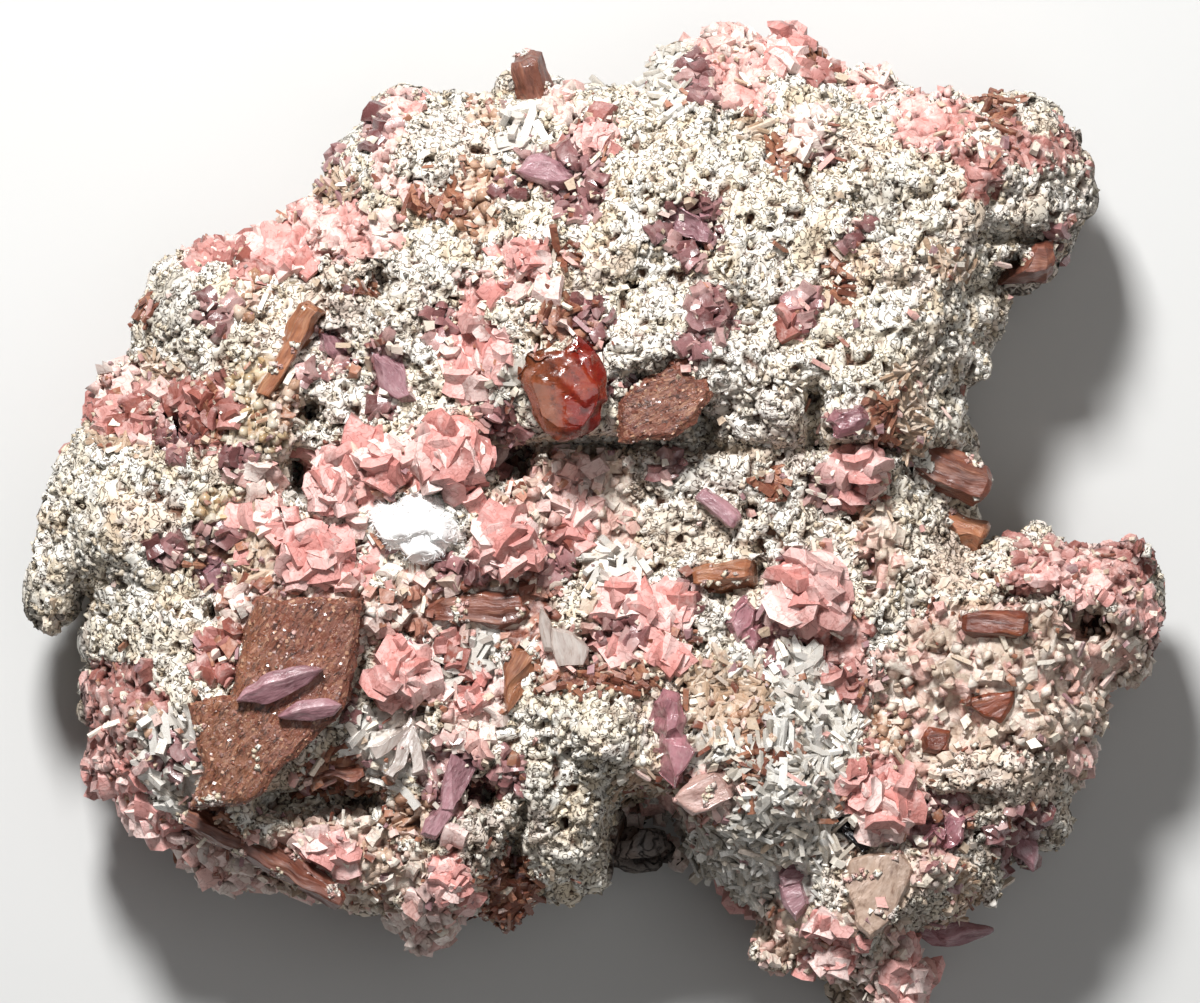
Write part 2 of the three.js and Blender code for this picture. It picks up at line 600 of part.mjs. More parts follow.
// A cleft: a wedge along a ledge, which narrows and leans in under it as it goes down.
function cleft({ from, to, width, depth }) {
  const [a, b] = [place(from), place(to)];
  const across = b.clone().sub(a).normalize().rotateAround(new THREE.Vector2(), Math.PI / 2);
  const top = Math.max(surfaceAt(a), surfaceAt(b)) + MOUTH;
  const points = [];
  for (const end of [a, b]) {
    for (const side of [-0.5, 0.5]) {
      const mouth = end.clone().addScaledVector(across, side * width);
      const floor = end.clone().addScaledVector(across, side * width * 0.4 + CLEFT_LEAN);
      points.push(new THREE.Vector3(mouth.x, mouth.y, top));
      points.push(new THREE.Vector3(floor.x, floor.y, top - MOUTH - depth));
    }
  }
  return solidOf(new ConvexGeometry(points));
}

// ---- Crystal shapes -----------------------------------------------------------------------------
// Each takes a crystal's entry and returns its solid about its own middle.
const SHOULDER_SLOPE = 1.1; // how far a bevel runs down for each millimetre that it runs in
const FOOT_INSET = 0.4; // how far a crystal draws in towards its buried foot
const YOUNGER = 0.18; // how much lower each further crystal of a cluster stands

// A thick crystal of a given outline, with a flat top and bevelled shoulders.
function gem({ outline, rise, depth, bevel }) {
  const middle = middleOf(outline);
  const hull = [];
  for (const point of outline.map(place)) {
    const out = point.sub(middle);
    const ring = (inset, z) => {
      const reach = out.clone().setLength(Math.max(0.2, out.length() - inset));
      hull.push(new THREE.Vector3(reach.x, reach.y, z));
    };
    ring(bevel, rise);
    ring(0, rise - bevel * SHOULDER_SLOPE);
    ring(FOOT_INSET, -depth);
  }
  return solidOf(new ConvexGeometry(hull));
}

// Several crystals of given outlines grown through each other.
function cluster(entry) {
  const middle = middleOf(entry.outlines.flat());
  return union(entry.outlines.map((outline, i) => {
    const shift = middleOf(outline).sub(middle);
    const rise = entry.rise * (1 - YOUNGER * i);
    return gem({ ...entry, outline, rise }).translate([shift.x, shift.y, 0]);
  }));
}

// A flat plate whose outline may turn inwards.
function plate({ outline, thickness, bevel }) {
  const middle = middleOf(outline);
  const shape = new THREE.Shape(outline.map((p) => place(p).sub(middle)));
  const body = new THREE.ExtrudeGeometry(shape, {
    depth: thickness - 2 * bevel,
    bevelEnabled: true,
    bevelSegments: 1,
    bevelThickness: bevel,
    bevelSize: bevel,
    bevelOffset: -bevel,
    curveSegments: 1,
  });
  return solidOf(body.translate(0, 0, bevel - thickness / 2));
}

// A six-sided prism along x with bevelled ends.
function prism({ length, width, thickness }) {
  const hull = [];
  const section = [[0.5, 0.16], [0.22, 0.5], [-0.26, 0.5], [-0.5, -0.12], [-0.2, -0.5], [0.3, -0.5]];
  const end = length / 2;
  const chamfer = Math.min(width, thickness) * 0.16;
  for (const [y, z] of section) {
    for (const side of [-1, 1]) {
      const corner = (inset, scale) => hull.push(new THREE.Vector3(
        side * (end - inset), y * width * scale, z * thickness * scale,
      ));
      corner(chamfer, 1);
      corner(0, 0.74);
    }
  }
  return solidOf(new ConvexGeometry(hull));
}

// A blade shaped like a lens, with a ridge along its top.
function lens({ length, width, thickness }) {
  const hull = [];
  const stations = 7;
  for (let i = 0; i < stations; i++) {
    const share = -1 + (2 * i) / (stations - 1);
    const swell = Math.max(0.16, Math.pow(1 - Math.abs(share) ** 2.2, 0.8));
    const x = (share * length) / 2;
    const half = (width / 2) * swell;
    const deep = thickness / 2;
    hull.push(new THREE.Vector3(x, half, -deep * 0.2), new THREE.Vector3(x, -half, -deep * 0.1));
    hull.push(new THREE.Vector3(x, half * 0.25, deep * (0.4 + 0.6 * swell)));
    hull.push(new THREE.Vector3(x, half * 0.5, -deep), new THREE.Vector3(x, -half * 0.5, -deep));
  }
  return solidOf(new ConvexGeometry(hull));
}

// A squat rhomb, standing on edge at a given slant.
function rhomb(size, slant, turn) {
  const half = size / 2;
  const hull = [];
  for (const [x, y, z] of CORNERS) {
    const [a, b, c] = [2 * x - 1, 2 * y - 1, 2 * z - 1];
    hull.push(new THREE.Vector3((a + 0.22 * c) * half, (b - 0.15 * a) * half * 0.82, c * half * 0.7));
  }
  const tilt = new THREE.Euler(slant, slant * 0.6, turn);
  return new ConvexGeometry(hull).applyMatrix4(new THREE.Matrix4().makeRotationFromEuler(tilt));
}

// A rosette: rhombs leaning outwards round a central one.
function rosette({ radius, rise, seed }) {
  const random = series(seed);
  const petals = radius > 2.5 ? 4 : 3;
  const solids = [solidOf(rhomb(radius * 1.15, 0.25, random() * 3).translate(0, 0, rise * 0.3))];
  for (let i = 0; i < petals; i++) {
    const angle = ((i + 0.5 * random()) / petals) * 2 * Math.PI;
    const reach = radius * (0.52 + 0.12 * random());
    const size = radius * (0.86 + 0.25 * random());
    const stone = rhomb(size, 0.3 + 0.5 * random(), angle);
    const height = rise * (0.1 + 0.35 * random()) - 0.4;
    solids.push(solidOf(stone.translate(Math.cos(angle) * reach, Math.sin(angle) * reach, height)));
  }
  return union(solids);
}

// A soft-looking tuft of hair-fine needles, as a mound of round lumps.
function tuft({ radius }) {
  const lumps = [[-0.45, 0.1, 0.55], [0.05, 0.22, 0.66], [0.45, -0.02, 0.56], [0.05, -0.3, 0.5]];
  return union(lumps.map(([x, y, share]) => {
    const lump = new THREE.DodecahedronGeometry(radius * share);
    return solidOf(lump.scale(1.1, 0.95, 0.85).translate(x * radius, y * radius, 0));
  }));
}

// A fan of thin blades that spread from one end.
function fan({ length, blades }) {
  const solids = [];
  for (let i = 0; i < blades; i++) {
    const share = i / (blades - 1) - 0.5;
    const blade = new THREE.BoxGeometry(length * (1 - 0.5 * Math.abs(share)), 0.9, 1.5);
    blade.translate(length * 0.32, 0, 0).rotateX(0.35 * share).rotateY(-0.3 - 0.2 * share);
    blade.rotateZ(share * 1.25).translate(-length * 0.3, 0, 0);
    solids.push(solidOf(blade));
  }
  return union(solids);
}

function middleOf(outline) {
  const sum = outline.reduce((all, p) => all.add(place(p)), new THREE.Vector2());
  return sum.divideScalar(outline.length);
}

// ---- Assembly -----------------------------------------------------------------------------------
const UNDER = 20; // height of the block that cuts the base flat
const underBase = solidOf(
  new THREE.BoxGeometry(2 * SPECIMEN_WIDTH, 2 * SPECIMEN_WIDTH, UNDER).translate(0, 0, -UNDER / 2),
);
const openings = union([underBase, ...VUGS.map(vug), ...CLEFTS.map(cleft)]);
const rockSolid = largest(solidOf(wholeRock.geometry).subtract(openings));
const rock = new THREE.Mesh(
  geometryOf(rockSolid),
  new THREE.MeshStandardMaterial({ color: 0xcfc6b2, roughness: 0.95, metalness: 0 }),
);
rock.name = "matrix";

const meshes = new Map();
const skin = solidOf(rockGeometry(GAP)); // the rock without its pits, GAP larger all round

// The mesh of one crystal where it grew, cut off where it meets the rock.
function crystalMesh(entry) {
  const { name, make, look, outline, outlines, on, lift = 0, turn = 0, lean = 0 } = entry;
  const at = entry.at ? place(entry.at) : middleOf(outline ?? outlines.flat());
  const mesh = new THREE.Mesh(undefined, new THREE.MeshStandardMaterial(look));
  mesh.name = name;
  mesh.position.set(at.x, at.y, entry.z ?? surfaceAt(at) + lift);
  if (on) mesh.position.z = new THREE.Box3().setFromObject(meshes.get(on)).max.z + GAP + entry.thickness / 2;
  mesh.rotation.set(0, THREE.MathUtils.degToRad(-lean), THREE.MathUtils.degToRad(turn), "ZYX");
  mesh.updateMatrix();
  const whole = geometryOf(make(entry)).applyMatrix4(mesh.matrix);
  const grown = geometryOf(largest(solidOf(whole).subtract(skin).subtract(rockSolid)));
  mesh.geometry = grown.applyMatrix4(mesh.matrix.clone().invert());
  return mesh;
}

for (const entry of CRYSTALS) meshes.set(entry.name, crystalMesh(entry));

const specimen = new THREE.Group();
specimen.name = "nenadkevichite_specimen";
specimen.add(rock, ...meshes.values());

export default specimen;
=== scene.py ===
"""The looks of a nenadkevichite specimen: a crusted slab of rock with crystals grown on its front.

The specimen lies on its back and the camera looks straight down on its front.
Places on the front are read on a drawing grid, as in the part's own source: x runs to the right,
y runs down, and a step is 0.08 mm. Shapes are worked out in millimetres and built in metres.
"""

import itertools
import math
from functools import cache

import bmesh
import bpy
import numpy as np
from mathutils.bvhtree import BVHTree
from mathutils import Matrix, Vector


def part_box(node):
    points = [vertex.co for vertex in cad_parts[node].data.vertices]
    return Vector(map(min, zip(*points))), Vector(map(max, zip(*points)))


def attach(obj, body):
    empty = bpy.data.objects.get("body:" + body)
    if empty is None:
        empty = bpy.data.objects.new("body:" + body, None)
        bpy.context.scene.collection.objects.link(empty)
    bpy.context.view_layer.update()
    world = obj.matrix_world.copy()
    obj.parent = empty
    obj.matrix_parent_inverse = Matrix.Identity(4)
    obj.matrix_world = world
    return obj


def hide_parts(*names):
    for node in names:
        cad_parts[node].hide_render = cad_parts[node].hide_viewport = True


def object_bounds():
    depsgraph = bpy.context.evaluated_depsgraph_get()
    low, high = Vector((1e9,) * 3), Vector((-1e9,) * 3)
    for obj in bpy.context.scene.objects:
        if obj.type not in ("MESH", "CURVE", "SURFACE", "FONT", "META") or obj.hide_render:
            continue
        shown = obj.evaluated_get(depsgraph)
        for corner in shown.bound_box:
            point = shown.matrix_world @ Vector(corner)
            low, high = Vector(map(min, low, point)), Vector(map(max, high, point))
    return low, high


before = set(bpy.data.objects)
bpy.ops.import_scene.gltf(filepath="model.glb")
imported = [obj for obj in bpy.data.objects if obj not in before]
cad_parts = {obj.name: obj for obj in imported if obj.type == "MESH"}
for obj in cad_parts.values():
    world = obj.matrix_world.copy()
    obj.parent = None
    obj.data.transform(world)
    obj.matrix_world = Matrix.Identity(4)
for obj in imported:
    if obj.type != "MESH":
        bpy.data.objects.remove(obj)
cad_box = [list(corner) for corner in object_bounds()]

# ---- Sizes and places, in millimetres unless a comment says otherwise --------------------------------
MM = 0.001  # metres in a millimetre
STEP = 0.08  # size of a step of the drawing grid
GRID_CENTRE = np.array([595.0, 517.0])
BOX_LOW, BOX_HIGH = np.array(cad_box) / MM

FRONT_LEVEL = 22.0  # usual height of the front above the base
WAIST = 12.0  # height at which the slab is widest
UPPER_SHRINK = 2.2  # how far the walls draw in between the waist and the front
LOWER_SHRINK = 7.5  # how far they draw in between the waist and the base
SHOULDER = 1.6  # radius where the front turns into the walls
FOOT = 1.0  # radius where the walls turn into the base
GRAIN_ROOM = 0.25  # how far the rock stays inside its rim, so that its grains reach the rim
STEEP = 4  # pits this deep have steep walls
CELL = np.array([0.56, 0.56, 0.58])  # spacing of the grid that the rock's surface is drawn on

FINE_FROM = 16.5  # above this height the surface is drawn with finer faces
WALL_COARSE = 2.1  # how much larger and wider apart relief and grains are on the walls
WALL_DRIFT = 90  # how far patches wander down the walls, in grid steps
CANDIDATES = 220000  # random spots that the grains are picked from
BARE_HOLLOW = 1.9  # hollows deeper than this hold no grains
CLEARANCE = 1.0  # how far below the crystals' tops the rock itself stays
BARE = 0.55  # how far below them its grains stay
MOST_TRIANGLES = 190000  # in one piece

SINK = 1.6  # how far a crystal's foot runs on into the rock
NEAR_ROCK = 0.6  # a crystal's corner this near the rock belongs to its foot
FINE_EDGE = 0.37  # longest side of a crystal's faces
RAGGED = 0.25  # how far the crystals' rims wander
TUFT_STRETCH = 1.12  # how much higher the fluffy mound stands than its plain solid

# Edges that turn by more than this are crisp, in radians.
GROUND_CRISP, DRUSE_CRISP, CRYSTAL_CRISP = (math.radians(angle) for angle in (40, 42, 28))

RAY_START = 0.05  # metres above the base from which rays look down on the front
CAMERA_HEIGHT = 1.0  # metres
SENSOR = 36
VIEW_WIDTH, VIEW_CENTRE = 1200, (600, 501.5)  # in grid steps


def from_grid(places):
    """Drawing-grid places as millimetres."""
    return (np.asarray(places, float) - GRID_CENTRE) * (STEP, -STEP)


def to_grid(points):
    """Millimetre points, seen from the front, as drawing-grid places."""
    return points[:, :2] / (STEP, -STEP) + GRID_CENTRE


# The slab's outline seen from the front, clockwise from its left shoulder.
OUTLINE = [
    (128, 345), (131, 325), (138, 305), (147, 290), (150, 275), (160, 262), (178, 257), (195, 250),
    (215, 244), (240, 243), (256, 237), (275, 236), (290, 222), (290, 214), (300, 206), (306, 199),
    (322, 197), (322, 192), (316, 185), (320, 176), (328, 168), (331, 150), (342, 138), (356, 128),
    (368, 117), (372, 102), (385, 90), (395, 84), (420, 84), (432, 94), (440, 96), (452, 84), (465, 93),
    (478, 92), (492, 92), (499, 80), (505, 72), (515, 65), (530, 60), (540, 63), (549, 75), (562, 79),
    (570, 82), (582, 86), (590, 80), (605, 83), (630, 84), (641, 92), (651, 88), (658, 70), (662, 56),
    (672, 45), (690, 42), (702, 42), (706, 28), (720, 16), (731, 22), (748, 28), (760, 40), (768, 48),
    (775, 36), (788, 28), (800, 34), (820, 48), (822, 66), (835, 75), (850, 82), (858, 70), (865, 66),
    (876, 70), (885, 70), (895, 85), (905, 90), (920, 94), (935, 99), (950, 97), (990, 98), (997, 92),
    (1010, 93), (1025, 90), (1040, 98), (1054, 110), (1062, 118), (1066, 127), (1080, 130), (1085, 145),
    (1094, 158), (1094, 180), (1099, 190), (1097, 205), (1085, 214), (1078, 232), (1077, 248), (1062, 257),
    (1055, 270), (1045, 280), (1030, 287), (1010, 284), (1000, 283), (995, 290), (1008, 298), (1005, 312),
    (998, 332), (988, 350), (990, 362), (985, 375), (970, 382), (965, 392), (968, 405), (973, 425),
    (980, 430), (980, 445), (984, 465), (982, 485), (975, 505), (980, 520), (977, 537), (970, 541),
    (985, 545), (1000, 543), (1015, 543), (1030, 532), (1042, 526), (1055, 535), (1065, 550), (1075, 545),
    (1095, 550), (1105, 543), (1118, 550), (1130, 544), (1150, 545), (1155, 560), (1162, 575), (1166, 590),
    (1170, 610), (1166, 632), (1160, 648), (1155, 672), (1152, 680), (1140, 686), (1128, 683), (1110, 695),
    (1116, 706), (1110, 722), (1105, 734), (1090, 738), (1097, 752), (1098, 765), (1088, 780), (1080, 795),
    (1070, 805), (1072, 820), (1075, 832), (1065, 845), (1053, 850), (1045, 848), (1035, 855), (1038, 870),
    (1036, 880), (1025, 870), (1010, 862), (1008, 872), (1003, 890), (993, 900), (980, 895), (972, 905),
    (965, 920), (955, 928), (948, 925), (940, 938), (930, 942), (925, 930), (912, 940), (913, 955),
    (920, 975), (927, 985), (918, 995), (915, 1003), (912, 1010), (895, 1018), (875, 1015), (862, 1005),
    (850, 995), (843, 985), (835, 980), (820, 975), (805, 968), (795, 965), (785, 966), (772, 971),
    (762, 964), (758, 950), (765, 942), (770, 938), (767, 920), (768, 905), (755, 905), (745, 895),
    (735, 885), (720, 875), (705, 865), (697, 850), (640, 862), (607, 872), (600, 888), (590, 885),
    (580, 890), (575, 900), (560, 904), (545, 903), (540, 900), (530, 908), (520, 915), (512, 925),
    (505, 932), (498, 930), (493, 918), (480, 922), (470, 918), (455, 920), (450, 935), (440, 945),
    (430, 948), (418, 954), (410, 955), (408, 940), (412, 930), (400, 925), (392, 915), (380, 910),
    (365, 915), (350, 913), (340, 906), (320, 904), (300, 898), (285, 892), (265, 885), (240, 890),
    (222, 890), (210, 888), (196, 884), (194, 872), (180, 855), (175, 843), (160, 835), (150, 825),
    (135, 812), (120, 797), (105, 788), (92, 778), (84, 765), (86, 745), (84, 725), (78, 705), (76, 690),
    (80, 678), (85, 670), (100, 668), (90, 665), (80, 650), (80, 630), (88, 615), (90, 590), (78, 588),
    (70, 600), (68, 615), (55, 625), (50, 635), (40, 630), (28, 622), (20, 605), (20, 590), (24, 570),
    (33, 562), (33, 550), (40, 540), (42, 525), (50, 495), (52, 470), (60, 450), (72, 440), (82, 428),
    (85, 415), (98, 400), (102, 385), (112, 372), (123, 367), (135, 370), (128, 358), (125, 350),
]
# Pits and dark slots: left, top, right and bottom on the grid, and depth.
PITS = [
    (606, 786, 694, 905, 14), (492, 442, 536, 486, 8), (284, 452, 317, 495, 8), (291, 396, 321, 424, 4.5),
    (466, 772, 500, 810, 5), (576, 628, 600, 668, 5), (800, 386, 825, 446, 5), (690, 412, 718, 440, 4.5),
    (206, 600, 225, 622, 4), (166, 408, 186, 452, 4), (1062, 606, 1110, 640, 4), (366, 270, 392, 302, 3.5),
    (332, 334, 350, 352, 3), (484, 370, 496, 402, 3), (624, 369, 650, 390, 3.5), (704, 590, 726, 602, 3),
    (750, 560, 771, 586, 3), (740, 500, 760, 520, 2), (506, 284, 515, 296, 2), (550, 249, 576, 264, 1.6),
    (710, 86, 725, 145, 1.8), (626, 180, 636, 190, 1.6), (508, 225, 517, 235, 1.6),
    (650, 258, 660, 268, 1.6), (624, 280, 636, 291, 1.8), (720, 300, 760, 340, 2),
    (984, 186, 1001, 210, 2.2), (850, 190, 865, 230, 2.2), (906, 192, 918, 202, 1.5),
    (429, 155, 441, 166, 1.6), (114, 604, 126, 616, 2), (250, 786, 375, 822, 6), (500, 830, 521, 880, 5),
    (928, 790, 1000, 808, 2.2), (1002, 737, 1014, 748, 1.4), (980, 226, 1050, 246, 4),
    (1000, 590, 1060, 601, 3), (1022, 600, 1050, 640, 2.6), (800, 440, 905, 458, 4),
    (494, 437, 640, 455, 5), (640, 440, 760, 452, 3), (365, 785, 388, 812, 3), (560, 758, 610, 766, 1.6),
    (136, 366, 152, 400, 1.6), (840, 818, 858, 832, 2), (668, 205, 720, 250, 1.5),
    (515, 795, 528, 835, 2.2), (636, 690, 652, 720, 2.2), (860, 560, 872, 590, 1.6),
    (770, 690, 782, 706, 1.4), (905, 600, 925, 612, 1.3), (1040, 700, 1056, 712, 1.2),
    (930, 640, 942, 655, 1.3), (60, 520, 70, 532, 1.2), (84, 470, 94, 480, 1.2), (150, 590, 160, 604, 1.4),
    (150, 470, 158, 484, 1.2), (100, 560, 110, 570, 1.2), (560, 820, 572, 835, 1.6),
    (540, 720, 550, 730, 1.2), (580, 700, 588, 712, 1.2),
]
# Lumps that stand proud, in the same way.
LUMPS = [
    (320, 262, 375, 312, 0.9), (385, 262, 432, 330, 0.9), (150, 262, 205, 345, 0.8),
    (700, 200, 745, 290, 0.7), (760, 180, 850, 260, 0.9), (600, 330, 690, 378, 1.0),
    (640, 290, 690, 330, 0.6), (745, 350, 800, 430, 0.9), (870, 140, 940, 200, 0.7),
    (1005, 170, 1098, 236, 1.2), (860, 290, 960, 345, 0.8), (905, 380, 970, 450, 0.9),
    (800, 300, 860, 370, 0.8), (40, 440, 110, 520, 0.7), (95, 500, 150, 600, 0.7),
    (505, 690, 560, 760, 0.8), (575, 680, 640, 770, 0.8), (545, 790, 600, 890, 0.9),
    (930, 750, 1070, 800, 0.8), (1010, 545, 1150, 592, 0.9), (945, 650, 1040, 700, 0.7),
    (640, 450, 700, 545, 0.6), (400, 120, 470, 185, 0.8), (680, 700, 840, 890, 0.8),
    (78, 675, 130, 765, 0.8), (270, 205, 400, 255, 0.8), (860, 850, 915, 935, 0.6),
    (1110, 600, 1165, 690, 0.7),
]

# ---- What grows where --------------------------------------------------------------------------------
# Each kind of cover: its colours; the relief of the surface itself, with its size, its height and the
# length of its blocks; the shapes that stand on it, how far apart and how large they are, how steeply
# they stand, and how wide the bundles are in which they lie side by side.
KINDS = {
    "cream": dict(
        colours=["#f9f1e2", "#f0e5d1", "#fcf7ec", "#e3d3ba"], relief=("worms", 1.25, 0.62),
        shapes=["nub", "nub", "worm"], gap=1.25, size=(0.5, 1.0), tilt=0.6,
    ),
    "fine": dict(
        colours=["#f4eadb", "#e8dbc9", "#f9f2e6", "#dac8b4"], relief=("worms", 1.0, 0.5),
        shapes=["nub", "nub", "worm"], gap=1.2, size=(0.45, 0.9), tilt=0.6,
    ),
    "white": dict(
        colours=["#fcf6ec", "#f5ecdf", "#ece1d0"], relief=("worms", 1.4, 0.7), shapes=["nub", "worm"],
        gap=1.2, size=(0.5, 1.1), tilt=0.6,
    ),
    "ash": dict(
        colours=["#d8d1c4", "#c8bfb0", "#e2dcd1"], relief=("worms", 1.3, 0.6), shapes=["nub"], gap=1.1,
        size=(0.5, 0.9), tilt=0.5,
    ),
    "blocky": dict(
        colours=["#e4d5c4", "#dcc1b1", "#ebdfd1", "#d9b1a4", "#cbb8a5"], relief=("blocks", 1.7, 0.7, 1.2),
        shapes=["nub", "rhomb", "nub"], gap=1.75, size=(0.5, 1.35), tilt=0.35,
    ),
    "bloom": dict(
        colours=["#e5b3ab", "#dda199", "#ebc3bb", "#eed4cb"], relief=("worms", 2.1, 0.7),
        shapes=["nub", "rhomb"], gap=2.0, size=(0.6, 1.3), tilt=0.6,
    ),
    "dusty": dict(
        colours=["#b9827a", "#a87068", "#c8978e", "#965f56"], relief=("worms", 1.8, 0.5),
        shapes=["nub", "rhomb"], gap=2.0, size=(0.5, 1.2), tilt=0.4,
    ),
    "pink": dict(
        colours=["#e8b1aa", "#e0a099", "#efc3bd", "#d48f87", "#f3d6cf"], relief=("blocks", 1.7, 1.0, 1.2),
        shapes=["rhomb"], gap=1.55, size=(1.1, 2.5), tilt=0.6,
    ),
    "pale": dict(
        colours=["#ecccc4", "#e9d6cc", "#f2e3da", "#e2b5ac"], relief=("blocks", 1.2, 0.7, 1.3),
        shapes=["rhomb", "chip", "nub"], gap=1.3, size=(0.7, 1.8), tilt=0.7,
    ),
    "mixed": dict(
        colours=["#ead2c8", "#e3b8ae", "#c99480", "#f2e7dc", "#b5806c", "#dac6b6", "#85503f"],
        relief=("blocks", 1.3, 0.7, 1.3), shapes=["rhomb", "chip", "nub"], gap=1.1, size=(0.6, 1.5),
        tilt=0.6,
    ),
    "salmon": dict(
        colours=["#b77d76", "#a66860", "#c68d85", "#955549"], relief=("blocks", 1.5, 0.9, 1.2),
        shapes=["rhomb"], gap=1.4, size=(0.9, 2.0), tilt=0.6,
    ),
    "mauve": dict(
        colours=["#ab7b7b", "#936463", "#c29994", "#7c4e4d"], relief=("blocks", 1.3, 0.9, 1.6),
        shapes=["gem", "rhomb"], gap=1.2, size=(0.8, 1.8), tilt=0.8,
    ),
    "brown": dict(
        colours=["#7d4938", "#8d5642", "#66382a", "#9f6a52"], relief=("blocks", 1.2, 0.5, 2.4),
        shapes=["splinter", "blade"], gap=0.72, size=(1.3, 2.8), tilt=0.4, bundles=3.5,
    ),
    "rust": dict(
        colours=["#c29c82", "#dac0ab", "#a4785e", "#ecdccb"], relief=("worms", 1.0, 0.55),
        shapes=["nub", "splinter"], gap=0.8, size=(0.6, 1.6), tilt=0.5, bundles=3.0,
    ),
    "tan": dict(
        colours=["#cbb29b", "#b89c82", "#dccab7"], relief=("blocks", 1.0, 0.45, 2.4), shapes=["splinter"],
        gap=0.62, size=(1.2, 2.6), tilt=0.45, bundles=3.0,
    ),
    "grey": dict(
        colours=["#efe9df", "#ddd5c9", "#f8f4ed", "#c9beaf"], relief=("blocks", 1.5, 0.7, 2.3),
        shapes=["splinter", "splinter", "blade"], gap=0.62, size=(1.2, 2.8), tilt=0.55, bundles=3.5,
    ),
    "yellow": dict(
        colours=["#dcc39c", "#e8d5b6", "#caa97e", "#f0e4cf"], relief=("blocks", 0.9, 0.45, 1.3),
        shapes=["gem", "nub"], gap=0.9, size=(0.6, 1.3), tilt=0.6,
    ),
    "lath": dict(
        colours=["#efe8de", "#e6dcd1", "#f6f1e9"], relief=("blocks", 1.3, 0.9, 2.2), shapes=["blade"],
        gap=0.9, size=(1.5, 3.6), tilt=0.5, bundles=2.5,
    ),
    # Dark rock for shadowed recesses: painted shade.
    "dark": dict(
        colours=["#4a3428", "#3a2820", "#6a5040"], relief=("worms", 1.8, 0.9), shapes=["nub"], gap=1.6,
        size=(0.5, 1.2), tilt=0.4,
    ),
}
